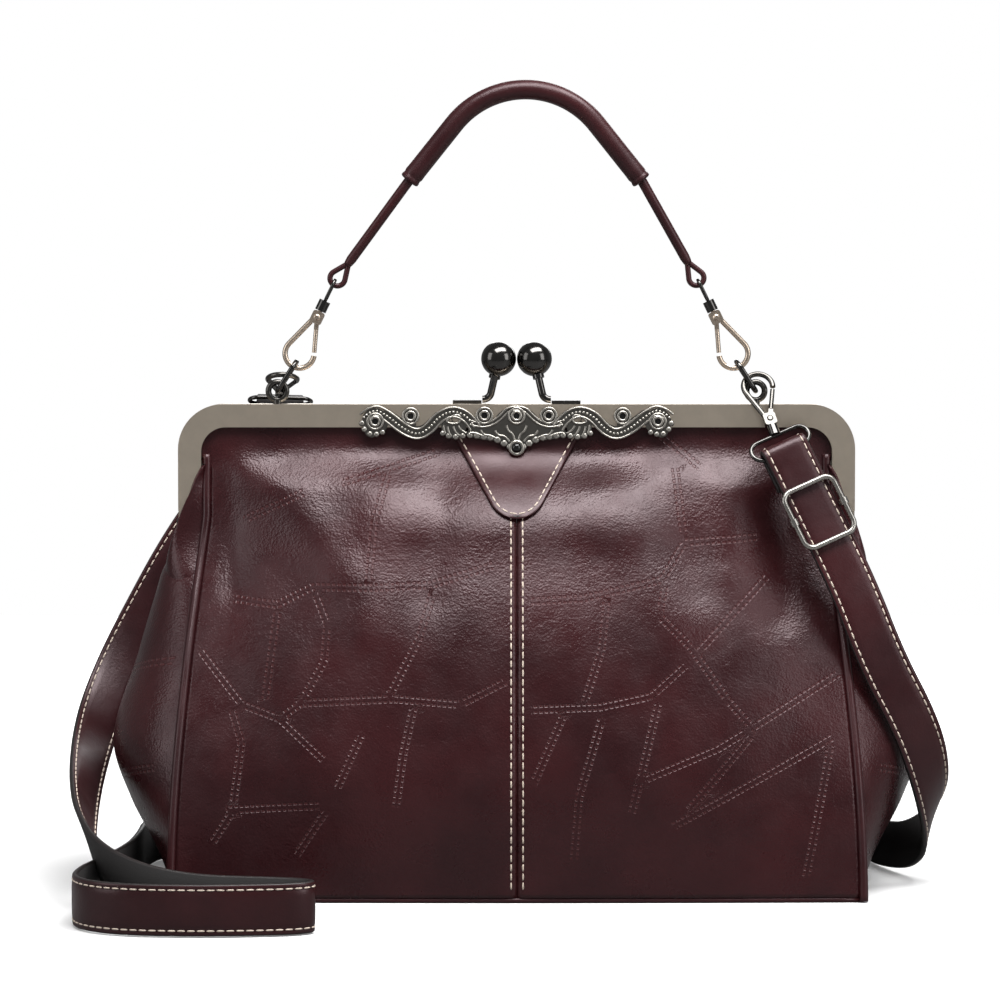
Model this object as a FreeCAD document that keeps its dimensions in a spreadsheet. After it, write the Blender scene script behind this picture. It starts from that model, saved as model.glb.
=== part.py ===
import FreeCAD, Part
import math
import os
import Sketcher
from FreeCAD import Placement, Rotation, Vector

# Kiss lock frame purse, in millimetres.
# X runs along the frame, -Y is the front, +Z is up, and the bag stands on Z = 0 about the origin.

doc = FreeCAD.newDocument("KissLockPurse")
sheet = doc.addObject("Spreadsheet::Sheet", "Sizes")

SIZES = {
    # hinged frame
    "frame_width": 270.0,
    "frame_top": 192.0,
    "face_width": 9.2,
    "corner_radius": 18.0,
    "jaw_depth": 5.85,
    "parting_gap": 0.3,
    "slot_width": 2.3,
    "slot_wall": 3.0,
    "leg_end": 149.5,
    "hinge_height": 144.0,
    "ear_radius": 4.5,
    "ear_plate": 1.5,
    "ear_gap": 0.3,
    "pin_radius": 1.6,
    "pin_clearance": 0.05,
    "pin_head_radius": 3.0,
    "pin_head_height": 1.1,
    # leather body
    "leather": 1.5,
    "bottom_leather": 2.0,
    "base_inset": 0.5,
    "base_half_depth": 56.0,
    "edge_clearance": 2.0,
    "straight_drop": 12.3,
    "gusset_top": 147.0,
    "front_bulge": 20.0,
    "gusset_bulge": 29.5,
    "piping_radius": 1.7,
    "seam_gap": 0.4,
    "board_thickness": 2.0,
    "board_clearance": 4.0,
    "lining": 0.7,
    "lining_clearance": 0.6,
    # front tab
    "tab_half_width": 27.0,
    "tab_tip": 147.5,
    "tab_tip_radius": 12.0,
    "tab_leather": 1.3,
    "tab_clearance": 0.5,
    # kiss lock
    "ball_radius": 7.0,
    "ball_gap": 0.3,
    "ball_height": 18.0,
    "lock_rod_radius": 1.5,
    "lock_bend": 3.2,
    "lock_elbow": 2.9,
    "lock_plate_length": 11.5,
    "lock_plate_width": 4.6,
    "lock_plate_thickness": 1.4,
    "lock_start": 13.7,
    "lock_clearance": 0.3,
    "lock_collar_radius": 2.3,
    # filigree ornament
    "filigree_plate": 1.4,
    "filigree_band": 5.0,
    "filigree_boss": 0.9,
    # eyelets and jump rings
    "eyelet_inset": 39.6,
    "eyelet_mean": 3.6,
    "eyelet_tube": 1.2,
    "eyelet_foot": 0.4,
    "eyelet_foot_radius": 1.7,
    "ring_wire": 1.0,
    "ring_length": 14.0,
    "ring_tilt": 33.0,
    "link_clearance": 0.3,
    "strap_hook_clearance": 0.7,
    # snap hooks
    "hook_bow": 5.8,
    "hook_wire": 1.1,
    "hook_rivet_height": 21.8,
    "hook_head_width": 4.8,
    "hook_head_depth": 3.4,
    "hook_head_height": 5.2,
    "hook_tilt": 26.0,
    "gate_plate": 1.4,
    "gate_rod": 0.9,
    "gate_eye_wall": 0.45,
    "gate_neck": 4.9,
    "gate_clearance": 0.15,
    "rivet_radius": 0.8,
    "rivet_clearance": 0.03,
    "rivet_head": 0.4,
    "rivet_head_radius": 1.3,
    "stud_radius": 0.9,
    "stud_length": 2.9,
    "button_radius": 1.35,
    "button_height": 0.9,
    "button_room": 1.3,
    "swivel_clearance": 0.06,
    "collar_radius": 2.3,
    "collar_height": 4.4,
    "eye_wire": 0.65,
    "eye_half_width": 3.2,
    "eye_length": 9.5,
    "eye_sink": 0.13,
    "dee_wire": 0.85,
    "dee_half_straight": 8.5,
    "dee_end_radius": 4.0,
    # handle
    "grip_radius": 3.5,
    "grip_half_span": 46.5,
    "grip_shift": 3.5,
    "grip_crest": 317.0,
    "cord_radius": 1.7,
    "loop_radius": 3.0,
    "loop_strand": 1.1,
    "sleeve_gap": 0.85,
    # shoulder strap and slider
    "strap_width": 19.0,
    "strap_leather": 2.2,
    "slider_wire": 1.1,
    "slider_bar_wire": 0.9,
    "slider_sleeve_radius": 1.75,
    "slider_sleeve_length": 2.6,
    "slider_length": 24.0,
    "slider_clearance": 0.5,
    "slider_corner": 4.0,
}

for row, (alias, value) in enumerate(SIZES.items(), start=1):
    sheet.set(f"A{row}", alias)
    sheet.set(f"B{row}", str(value))
    sheet.setAlias(f"B{row}", alias)
doc.recompute()

pieces = {}


def size(alias):
    """A driving dimension, read back from the sheet."""
    return float(sheet.get(alias))


def bind(obj, **expressions):
    """Tie properties of an object to the sheet; a double underscore stands for a dot."""
    for name, text in expressions.items():
        obj.setExpression(name.replace("__", "."), text)


def keep(label, obj):
    """Name a finished sub-part."""
    obj.Label = label
    pieces[label] = obj
    return obj


def solid_piece(label, shape, placement=None):
    """A sub-part whose shape is worked out from the sheet's sizes."""
    obj = doc.addObject("Part::Feature", label)
    obj.Shape = shape
    if placement is not None:
        obj.Placement = placement
    return keep(label, obj)


def origin_plane(body, role):
    return next(plane for plane in body.Origin.OriginFeatures if plane.Role == role)


def add_sketch(body, name, role, lift):
    """A sketch on one of the body's own planes, lifted along that plane's normal."""
    sketch = body.newObject("Sketcher::SketchObject", name)
    sketch.AttachmentSupport = [(origin_plane(body, role), "")]
    sketch.MapMode = "FlatFace"
    sketch.setExpression("AttachmentOffset.Base.z", lift)
    return sketch


def value_of(text):
    """The number that a sheet expression stands for."""
    probe = doc.addObject("App::FeaturePython", "Probe")
    probe.addProperty("App::PropertyFloat", "Result")
    probe.setExpression("Result", text)
    probe.recompute()
    result = probe.Result
    doc.removeObject(probe.Name)
    return result


def rounded_rectangle(sketch, half_width, top, bottom, radius):
    """A rectangle with round corners, symmetric about the vertical axis, driven by four expressions."""
    wide, high, low, bend = (value_of(text) for text in (half_width, top, bottom, radius))
    right_angle = math.pi / 2
    corners = [(wide - bend, high - bend, 0), (wide - bend, low + bend, 3),
               (bend - wide, low + bend, 2), (bend - wide, high - bend, 1)]
    sketch.addGeometry(Part.LineSegment(Vector(bend - wide, high, 0), Vector(wide - bend, high, 0)))
    sketch.addGeometry(Part.LineSegment(Vector(wide, high - bend, 0), Vector(wide, low + bend, 0)))
    sketch.addGeometry(Part.LineSegment(Vector(wide - bend, low, 0), Vector(bend - wide, low, 0)))
    sketch.addGeometry(Part.LineSegment(Vector(-wide, low + bend, 0), Vector(-wide, high - bend, 0)))
    for x, z, quarter in corners:
        circle = Part.Circle(Vector(x, z, 0), Vector(0, 0, 1), bend)
        sketch.addGeometry(Part.ArcOfCircle(circle, quarter * right_angle, (quarter + 1) * right_angle))
    for line in range(4):
        arc = 4 + line
        following = (line + 1) % 4
        sketch.addConstraint(Sketcher.Constraint("Tangent", line, 2, arc, 2))
        sketch.addConstraint(Sketcher.Constraint("Tangent", following, 1, arc, 1))
    for line, direction in ((1, "Vertical"), (2, "Horizontal"), (3, "Vertical")):
        sketch.addConstraint(Sketcher.Constraint(direction, line))
    for arc in (5, 6, 7):
        sketch.addConstraint(Sketcher.Constraint("Equal", 4, arc))
    sketch.addConstraint(Sketcher.Constraint("Symmetric", 0, 1, 0, 2, -2))
    for kind, first, second, text in (("DistanceX", (-1, 1), (1, 1), half_width),
                                      ("DistanceY", (-1, 1), (0, 1), top),
                                      ("DistanceY", (-1, 1), (2, 1), bottom)):
        index = sketch.addConstraint(Sketcher.Constraint(kind, *first, *second, value_of(text)))
        sketch.setExpression(f"Constraints[{index}]", text)
    index = sketch.addConstraint(Sketcher.Constraint("Radius", 4, bend))
    sketch.setExpression(f"Constraints[{index}]", radius)
    return sketch


def circle_sketch(sketch, across, up, radius):
    """One circle, placed and sized by expressions."""
    place = Vector(value_of(across), value_of(up), 0)
    sketch.addGeometry(Part.Circle(place, Vector(0, 0, 1), value_of(radius)))
    for kind, text in (("DistanceX", across), ("DistanceY", up)):
        index = sketch.addConstraint(Sketcher.Constraint(kind, -1, 1, 0, 3, value_of(text)))
        sketch.setExpression(f"Constraints[{index}]", text)
    index = sketch.addConstraint(Sketcher.Constraint("Radius", 0, value_of(radius)))
    sketch.setExpression(f"Constraints[{index}]", radius)
    return sketch


def rectangle_sketch(sketch, left, right, bottom, top):
    """A plain rectangle between four expressions."""
    x0, x1, z0, z1 = (value_of(text) for text in (left, right, bottom, top))
    corners = [Vector(x0, z0, 0), Vector(x1, z0, 0), Vector(x1, z1, 0), Vector(x0, z1, 0)]
    for start, end in zip(corners, corners[1:] + corners[:1]):
        sketch.addGeometry(Part.LineSegment(start, end))
    for line in range(4):
        sketch.addConstraint(Sketcher.Constraint("Coincident", line, 2, (line + 1) % 4, 1))
        sketch.addConstraint(Sketcher.Constraint("Vertical" if line % 2 else "Horizontal", line))
    for kind, line, text in (("DistanceX", 3, left), ("DistanceX", 1, right),
                             ("DistanceY", 0, bottom), ("DistanceY", 2, top)):
        index = sketch.addConstraint(Sketcher.Constraint(kind, -1, 1, line, 1, value_of(text)))
        sketch.setExpression(f"Constraints[{index}]", text)
    return sketch


def extrude(body, kind, name, sketch, length, reverse=False):
    """A pad or pocket of a sketch, by a length from the sheet."""
    feature = body.newObject(f"PartDesign::{kind}", name)
    feature.Profile = sketch
    feature.Reversed = reverse
    feature.setExpression("Length", length)
    doc.recompute()
    return feature


# Frame halves: a U of channel section whose slot grips the leather, with a hinge ear on each leg.
HALF_WIDTH = "Sizes.frame_width / 2"


def make_jaw(label, near_face, ear_inset, ear_side):
    """One jaw; near_face is the lift of its rear face, ear_side the sign of its Y side."""
    body = doc.addObject("PartDesign::Body", label)
    below = "Sizes.leg_end - 2 * Sizes.corner_radius"
    outline = add_sketch(body, label + "_outline", "XZ_Plane", near_face)
    rounded_rectangle(outline, HALF_WIDTH, "Sizes.frame_top", below, "Sizes.corner_radius")
    extrude(body, "Pad", label + "_band", outline, "Sizes.jaw_depth")
    mouth = add_sketch(body, label + "_mouth", "XZ_Plane", near_face)
    rounded_rectangle(mouth, f"{HALF_WIDTH} - Sizes.face_width", "Sizes.frame_top - Sizes.face_width",
                      below + " - Sizes.face_width", "Sizes.corner_radius - Sizes.face_width + 1")
    extrude(body, "Pocket", label + "_opening", mouth, "Sizes.jaw_depth", True)
    slot_face = near_face + " + (Sizes.jaw_depth - Sizes.slot_width) / 2"
    slot = add_sketch(body, label + "_slot", "XZ_Plane", slot_face)
    rounded_rectangle(slot, f"{HALF_WIDTH} - Sizes.slot_wall", "Sizes.frame_top - Sizes.slot_wall",
                      below + " - Sizes.face_width", "Sizes.corner_radius - Sizes.slot_wall")
    extrude(body, "Pocket", label + "_channel", slot, "Sizes.slot_width", True)
    ends = add_sketch(body, label + "_ends", "XZ_Plane", near_face)
    rectangle_sketch(ends, "-Sizes.frame_width", "Sizes.frame_width",
                     below + " - 2 * Sizes.face_width", "Sizes.leg_end")
    extrude(body, "Pocket", label + "_leg_ends", ends, "Sizes.jaw_depth", True)
    for hand, lift in (("left", f"-{HALF_WIDTH} + {ear_inset}"),
                       ("right", f"{HALF_WIDTH} - Sizes.ear_plate - {ear_inset}")):
        neck = add_sketch(body, f"{label}_neck_{hand}", "YZ_Plane", lift)
        if ear_side < 0:
            rectangle_sketch(neck, "-Sizes.ear_radius", "-Sizes.parting_gap / 2",
                             "Sizes.hinge_height", "Sizes.leg_end + 1")
        else:
            rectangle_sketch(neck, "Sizes.parting_gap / 2", "Sizes.ear_radius",
                             "Sizes.hinge_height", "Sizes.leg_end + 1")
        extrude(body, "Pad", f"{label}_ear_neck_{hand}", neck, "Sizes.ear_plate")
        disc = add_sketch(body, f"{label}_disc_{hand}", "YZ_Plane", lift)
        circle_sketch(disc, "0", "Sizes.hinge_height", "Sizes.ear_radius")
        extrude(body, "Pad", f"{label}_ear_{hand}", disc, "Sizes.ear_plate")
    bore = add_sketch(body, label + "_bore", "YZ_Plane", f"-{HALF_WIDTH} - 1")
    circle_sketch(bore, "0", "Sizes.hinge_height", "Sizes.pin_radius + Sizes.pin_clearance")
    extrude(body, "Pocket", label + "_pin_bore", bore, "Sizes.frame_width + 2", True)
    return keep(label, body)


make_jaw("front_jaw", "Sizes.parting_gap / 2", "0", -1)
make_jaw("back_jaw", "-Sizes.parting_gap / 2 - Sizes.jaw_depth", "(Sizes.ear_plate + Sizes.ear_gap)", 1)


# Hinge rivets, one through the two ears of each side.
def make_hinge_pins():
    shank = size("pin_radius")
    face = size("frame_width") / 2
    inner = face - 2 * size("ear_plate") - size("ear_gap") - size("pin_head_height")
    pins = []
    for hand in (-1, 1):
        outward = Vector(hand, 0, 0)
        start = Vector(hand * inner, 0, size("hinge_height"))
        pin = Part.makeCylinder(shank, face - inner, start, outward)
        head = Part.makeCone(size("pin_head_radius"), shank, size("pin_head_height"),
                             Vector(hand * face, 0, size("hinge_height")), outward)
        pins.append(pin.fuse(head).removeSplitter())
    return solid_piece("hinge_pins", Part.makeCompound(pins))


make_hinge_pins()

# Leather body. Each level has a corner at each seam, a bulging front and back, and bulging gussets.
# Below the gusset's top: share of the height, the corner depth, the front bulge and the gusset bulge.
LOWER_LEVELS = ((0.0, 1.0, 0.1, 0.05), (0.1, 0.98, 0.2, 0.33), (0.23, 0.93, 0.37, 0.72),
                (0.39, 0.815, 0.6, 1.0), (0.62, 0.575, 0.9, 0.76), (0.78, 0.365, 1.05, 0.6),
                (0.88, 0.225, 1.09, 0.47), (0.95, 0.15, 1.09, 0.12), (1.0, 0.125, 1.02, 0.04))
# Above it, up to the straight part behind the ornament: share of the height and of the front bulge.
UPPER_LEVELS = ((0.35, 0.75), (0.72, 0.38))
FLAT_BULGE = 0.1
# The corners draw in slowly at the floor and faster towards the frame.
CORNER_CURVE = 1.6

slot_middle = size("parting_gap") / 2 + size("jaw_depth") / 2
leather = size("leather")
floor_top = size("bottom_leather")
jaw_edge = size("frame_top") - size("face_width")
straight_start = jaw_edge - size("straight_drop")
leather_top = size("frame_top") - size("slot_wall") - size("edge_clearance")
seam_room = size("piping_radius") + size("seam_gap")


def body_levels():
    """Height, corner half width, corner half depth, front bulge and gusset bulge of every level."""
    base = size("frame_width") / 2 - size("base_inset")
    mouth = size("frame_width") / 2 - size("face_width") - seam_room
    slot_depth = slot_middle + leather / 2
    levels = []
    for share, depth, front, side in LOWER_LEVELS:
        height = floor_top + share * (size("gusset_top") - floor_top)
        wide = base + share ** CORNER_CURVE * (mouth - base)
        levels.append((height, wide, depth * size("base_half_depth"),
                       front * size("front_bulge"), side * size("gusset_bulge")))
    last_depth = levels[-1][2]
    for share, front in UPPER_LEVELS:
        height = size("gusset_top") + share * (straight_start - size("gusset_top"))
        depth = last_depth + share * (slot_depth - last_depth)
        levels.append((height, mouth, depth, front * size("front_bulge"), 0.0))
    levels.append((straight_start, mouth, slot_depth, FLAT_BULGE, 0.0))
    levels.append((leather_top, mouth + seam_room, slot_depth, FLAT_BULGE, 0.0))
    return levels


LEVELS = body_levels()
GUSSET_LEVELS = LEVELS[:len(LOWER_LEVELS)]


def bulge_at(across, half_chord, bulge):
    """How far an arc over a chord stands out, at a distance from the chord's middle."""
    radius = (half_chord ** 2 + bulge ** 2) / (2 * bulge)
    return math.sqrt(radius ** 2 - across ** 2) - (radius - bulge)


def sheet_section(height, half_chord, distance, bulge, start, end, thickness, turn):
    """Closed outline of one bent sheet at one level, between two places along its chord."""
    middle = (start + end) / 2
    outer, inner = [], []
    for across in (start, middle, end):
        out = distance + bulge_at(across, half_chord, bulge)
        outer.append(turn(across, out, height))
        inner.append(turn(across, out - thickness, height))
    edges = [Part.Arc(*outer).toShape(), Part.makeLine(outer[2], inner[2]),
             Part.Arc(*reversed(inner)).toShape(), Part.makeLine(inner[0], outer[0])]
    return Part.Wire(edges)


def make_panel(label, hand, facing):
    """Half of the front or back, from the centre seam to the corner seam."""
    def turn(across, out, height):
        return Vector(hand * across, facing * out, height)
    centre = size("seam_gap") / 4
    wires = [sheet_section(z, wide, depth, front, centre, wide - seam_room, leather, turn)
             for z, wide, depth, front, side in LEVELS]
    return solid_piece(label, Part.makeLoft(wires, True, True))


def make_gusset(label, hand):
    """Side panel, bulging most at about half its height."""
    def turn(across, out, height):
        return Vector(hand * out, across, height)
    wires = [sheet_section(z, depth, wide, side, seam_room - depth, depth - seam_room, leather, turn)
             for z, wide, depth, front, side in GUSSET_LEVELS]
    return solid_piece(label, Part.makeLoft(wires, True, True))


def make_piping(label, hand, facing):
    """Corded seam along one corner."""
    wires = [Part.Wire(Part.makeCircle(size("piping_radius"), Vector(hand * wide, facing * depth, z)))
             for z, wide, depth, front, side in LEVELS[:-1]]
    return solid_piece(label, Part.makeLoft(wires, True, True))


for side_name, hand in (("left", -1), ("right", 1)):
    for face_name, facing in (("front", -1), ("back", 1)):
        make_panel(f"{face_name}_panel_{side_name}", hand, facing)
        make_piping(f"piping_{face_name}_{side_name}", hand, facing)
    make_gusset(f"gusset_{side_name}", hand)


def ring_section(height, inset):
    """Closed outline round all four sides at any height, drawn in by an inset."""
    below = max(level for level in LEVELS if level[0] <= height)
    above = min(level for level in LEVELS if level[0] >= height)
    share = 0 if above[0] == below[0] else (height - below[0]) / (above[0] - below[0])
    wide, depth, front, side = (low + share * (high - low) for low, high in zip(below[1:], above[1:]))
    wide -= inset
    depth -= inset
    corners = [Vector(wide, -depth, height), Vector(wide, depth, height),
               Vector(-wide, depth, height), Vector(-wide, -depth, height)]
    middles = [Vector(wide + side, 0, height), Vector(0, depth + front, height),
               Vector(-wide - side, 0, height), Vector(0, -depth - front, height)]
    return Part.Wire([Part.Arc(corners[i], middles[i], corners[(i + 1) % 4]).toShape() for i in range(4)])


def make_bottom_panel():
    outline = ring_section(floor_top, 0.0)
    outline.translate(Vector(0, 0, -floor_top))
    return solid_piece("bottom_panel", Part.Face(outline).extrude(Vector(0, 0, floor_top)))


def make_lining():
    """Thin inner bag with a floor, standing on the base board."""
    inset = leather + size("lining_clearance")
    start = floor_top + size("board_thickness")
    heights = [start] + [level[0] for level in GUSSET_LEVELS[1:-2]]
    outside = Part.makeLoft([ring_section(z, inset) for z in heights], True, True)
    inner_inset = inset + size("lining")
    heights[0] += size("lining")
    inside = Part.makeLoft([ring_section(z, inner_inset) for z in heights], True, True)
    return solid_piece("lining", outside.cut(inside))


make_bottom_panel()
make_lining()


def make_base_board():
    body = doc.addObject("PartDesign::Body", "base_board")
    sketch = add_sketch(body, "board_outline", "XY_Plane", "Sizes.bottom_leather")
    room = "Sizes.leather - Sizes.board_clearance"
    rounded_rectangle(sketch, f"{HALF_WIDTH} - Sizes.base_inset - {room}", f"Sizes.base_half_depth - {room}",
                      f"-Sizes.base_half_depth + {room.replace('-', '+')}", "2 * Sizes.board_clearance")
    extrude(body, "Pad", "board_plate", sketch, "Sizes.board_thickness")
    return keep("base_board", body)


make_base_board()


def offset_line(points, distance):
    """A line of points in the YZ plane, moved sideways towards the front."""
    moved = []
    for index, point in enumerate(points):
        before = points[max(index - 1, 0)]
        after = points[min(index + 1, len(points) - 1)]
        legs = [leg.normalize() for leg in (point - before, after - point) if leg.Length > 0]
        sides = [Vector(0, leg.z, -leg.y) for leg in legs]
        mean = (sides[0] + sides[-1]).normalize()
        moved.append(point + mean * (distance / mean.dot(sides[0])))
    return moved


def make_front_tab():
    """Leather tongue: a strip that follows the front's bulge, cut to a tapered outline with a round tip."""
    top = jaw_edge - size("tab_clearance")
    line = [Vector(0, -depth - front, z) for z, wide, depth, front, side in LEVELS if z < top]
    line = line[-4:] + [Vector(0, line[-1].y, top)]
    line.reverse()
    inner = offset_line(line, size("tab_clearance"))
    outer = offset_line(line, size("tab_clearance") + size("tab_leather"))
    outline = Part.makePolygon(inner + outer[::-1] + inner[:1])
    half = size("tab_half_width")
    strip = Part.Face(outline).extrude(Vector(2 * half, 0, 0))
    strip.translate(Vector(-half, 0, 0))
    bend = size("tab_tip_radius")
    centre = Vector(0, 0, size("tab_tip") + bend)
    shoulder = Vector(half, 0, top)
    reach = shoulder - centre
    angle = math.atan2(reach.z, reach.x) - math.acos(bend / reach.Length)
    touch = centre + Vector(bend * math.cos(angle), 0, bend * math.sin(angle))
    mirrored = [Vector(-point.x, 0, point.z) for point in (touch, shoulder)]
    tongue = Part.Face(Part.Wire([
        Part.makeLine(shoulder, touch), Part.Arc(touch, Vector(0, 0, size("tab_tip")), mirrored[0]).toShape(),
        Part.makeLine(*mirrored), Part.makeLine(mirrored[1], shoulder)]))
    front = size("base_half_depth") + size("front_bulge")
    return solid_piece("front_tab", strip.common(tongue.extrude(Vector(0, -front, 0))))


make_front_tab()


def tube(edges, radius):
    """Round wire along lines and arcs that follow on from each other."""
    solids = []
    for edge in edges:
        start = edge.valueAt(edge.FirstParameter)
        profile = Part.Face(Part.Wire(Part.makeCircle(radius, start, edge.tangentAt(edge.FirstParameter))))
        if isinstance(edge.Curve, Part.Line):
            solids.append(profile.extrude(edge.valueAt(edge.LastParameter) - start))
        else:
            sweep = math.degrees(edge.LastParameter - edge.FirstParameter)
            solids.append(profile.revolve(edge.Curve.Center, edge.Curve.Axis, sweep))
    return solids[0].fuse(solids[1:]).removeSplitter() if len(solids) > 1 else solids[0]


def bent_line(points, bend):
    """Straight runs through points, with an arc of one radius at each inner point."""
    edges = []
    start = points[0]
    for before, corner, after in zip(points, points[1:], points[2:]):
        back = (before - corner).normalize()
        ahead = (after - corner).normalize()
        half = back.getAngle(ahead) / 2
        reach = bend / math.tan(half)
        middle = corner + (back + ahead).normalize() * (bend / math.sin(half) - bend)
        edges.append(Part.makeLine(start, corner + back * reach))
        start = corner + ahead * reach
        edges.append(Part.Arc(corner + back * reach, middle, start).toShape())
    edges.append(Part.makeLine(start, points[-1]))
    return edges


def stadium(across, along, half_straight, end_radius, centre):
    """Closed oval of two straight sides, lying along one direction, and two half circles."""
    side = across * end_radius
    ends = [centre + along * half_straight, centre - along * half_straight]
    corners = [ends[0] + side, ends[0] - side, ends[1] - side, ends[1] + side]
    return [Part.Arc(corners[0], ends[0] + along * end_radius, corners[1]).toShape(),
            Part.makeLine(corners[1], corners[2]),
            Part.Arc(corners[2], ends[1] - along * end_radius, corners[3]).toShape(),
            Part.makeLine(corners[3], corners[0])]


# Kiss lock: a plate on each jaw's top, a bent rod that springs sideways, and a ball on it.
def make_lock(side_name, hand, facing):
    jaw_y = facing * slot_middle
    top = size("frame_top")
    base = doc.addObject("Part::Box", f"lock_base_{side_name}")
    jaw_middle = f"{facing} * (Sizes.parting_gap + Sizes.jaw_depth) / 2"
    plate_middle = f"{hand} * (Sizes.lock_start + Sizes.lock_clearance + Sizes.lock_plate_length / 2)"
    bind(base, Length="Sizes.lock_plate_length", Width="Sizes.lock_plate_width",
         Height="Sizes.lock_plate_thickness", Placement__Base__z="Sizes.frame_top",
         Placement__Base__y=jaw_middle + " - Sizes.lock_plate_width / 2",
         Placement__Base__x=plate_middle + " - Sizes.lock_plate_length / 2")
    keep(f"lock_base_{side_name}", base)
    ball_radius = size("ball_radius")
    ball_centre = Vector(hand * (ball_radius + size("ball_gap") / 2), 0, top + size("ball_height"))
    rod_height = top + size("lock_clearance") + size("lock_rod_radius")
    start = Vector(hand * size("lock_start"), jaw_y, rod_height)
    elbow = Vector(hand * (size("lock_start") - size("lock_elbow")), jaw_y, rod_height)
    towards = (ball_centre - elbow).normalize()
    tip = ball_centre - towards * (ball_radius / 2)
    rod = tube(bent_line([start, elbow, tip], size("lock_bend")), size("lock_rod_radius"))
    seat = math.sqrt(ball_radius ** 2 - size("lock_collar_radius") ** 2)
    collar = Part.makeCylinder(size("lock_collar_radius"), size("lock_rod_radius"),
                               ball_centre - towards * (seat + size("lock_rod_radius")), towards)
    arm = rod.fuse(collar).removeSplitter()
    solid_piece(f"lock_arm_{side_name}", arm)
    solid_piece(f"lock_ball_{side_name}", Part.makeSphere(ball_radius, ball_centre).cut(arm))


make_lock("left", -1, 1)
make_lock("right", 1, -1)

# Eyelets on the front jaw's top, and the oval jump rings that lean inwards from them.
eyelet_x = size("frame_width") / 2 - size("eyelet_inset")
eyelet_height = size("frame_top") + size("eyelet_foot") + size("eyelet_mean") + size("eyelet_tube")


def make_eyelet(side_name, hand):
    place = {"Placement__Base__x": f"{hand} * ({HALF_WIDTH} - Sizes.eyelet_inset)",
             "Placement__Base__y": "-(Sizes.parting_gap + Sizes.jaw_depth) / 2"}
    ring = doc.addObject("Part::Torus", f"eyelet_ring_{side_name}")
    height = "Sizes.frame_top + Sizes.eyelet_foot + Sizes.eyelet_mean + Sizes.eyelet_tube"
    bind(ring, Radius1="Sizes.eyelet_mean", Radius2="Sizes.eyelet_tube", Placement__Base__z=height, **place)
    ring.Placement = Placement(Vector(), Rotation(Vector(1, 0, 0), 90))
    foot = doc.addObject("Part::Cylinder", f"eyelet_foot_{side_name}")
    bind(foot, Radius="Sizes.eyelet_foot_radius", Height="Sizes.eyelet_foot + Sizes.eyelet_tube",
         Placement__Base__z="Sizes.frame_top", **place)
    eyelet = doc.addObject("Part::Fuse", f"eyelet_{side_name}")
    eyelet.Base = ring
    eyelet.Tool = foot
    return keep(f"eyelet_{side_name}", eyelet)


def make_jump_ring(side_name, hand):
    end_radius = size("eyelet_mean")
    along = Vector(0, 0, 1)
    half = size("ring_length") / 2
    path = stadium(Vector(0, 1, 0), along, half - end_radius, end_radius, along * half)
    lean = Rotation(Vector(0, 1, 0), -hand * size("ring_tilt"))
    place = Placement(Vector(hand * eyelet_x, -slot_middle, eyelet_height), lean)
    return solid_piece(f"jump_ring_{side_name}", tube(path, size("ring_wire")), place)


for side_name, hand in (("left", -1), ("right", 1)):
    make_eyelet(side_name, hand)
    make_jump_ring(side_name, hand)

# Snap hooks, each in its own frame: the middle of the bow's wire at the origin, the swivel along +Z,
# and the gate on the +X side.
rivet_height = size("hook_rivet_height")
head_half = size("hook_head_height") / 2
head_top = rivet_height + head_half
collar_start = head_top + size("link_clearance")
collar_top = collar_start + size("collar_height")
bow_radius = size("hook_bow")


def bow_touch(foot):
    """Angle on the bow where a straight side from a point on the head meets it."""
    reach = foot - Vector(0, 0, bow_radius)
    side = math.copysign(1, foot.x)
    return math.atan2(reach.z, reach.x) - side * math.acos(bow_radius / reach.Length)


def on_bow(angle):
    return Vector(bow_radius * math.cos(angle), 0, bow_radius + bow_radius * math.sin(angle))


side_foot = Vector(-size("hook_head_width") / 4, 0, rivet_height - head_half / 2)
gate_foot = Vector(size("hook_head_width") / 4, 0, rivet_height)
tip_angle = bow_touch(gate_foot)
gate_eye = size("rivet_radius") + size("gate_eye_wall")


def hook_body():
    """Bow, head with the gate's slot and rivet hole, and the swivel's stud with its button."""
    far_angle = bow_touch(side_foot)
    bow = [Part.makeLine(side_foot, on_bow(far_angle)),
           Part.Arc(on_bow(far_angle), on_bow(-math.pi / 2), on_bow(tip_angle)).toShape()]
    wide, deep = size("hook_head_width"), size("hook_head_depth")
    head = Part.makeBox(wide, deep, 2 * head_half, Vector(-wide / 2, -deep / 2, rivet_height - head_half))
    head = head.makeFillet(wide / 5, [edge for edge in head.Edges if abs(edge.tangentAt(0).y) > 0.9])
    gap = size("gate_plate") + 2 * size("gate_clearance")
    room = gate_eye + size("gate_clearance")
    slot_foot = rivet_height - head_half - size("gate_clearance")
    slot = Part.makeBox(wide, gap, rivet_height + room - slot_foot, Vector(-room, -gap / 2, slot_foot))
    hole = Part.makeCylinder(size("rivet_radius") + size("rivet_clearance"), deep,
                             Vector(0, -deep / 2, rivet_height), Vector(0, 1, 0))
    stud = Part.makeCylinder(size("stud_radius"), size("stud_length"), Vector(0, 0, head_top))
    button = Part.makeCylinder(size("button_radius"), size("button_height"),
                               Vector(0, 0, head_top + size("stud_length") - size("button_height")))
    return tube(bow, size("hook_wire")).fuse([head, stud, button]).cut(slot.fuse(hole)).removeSplitter()


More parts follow.
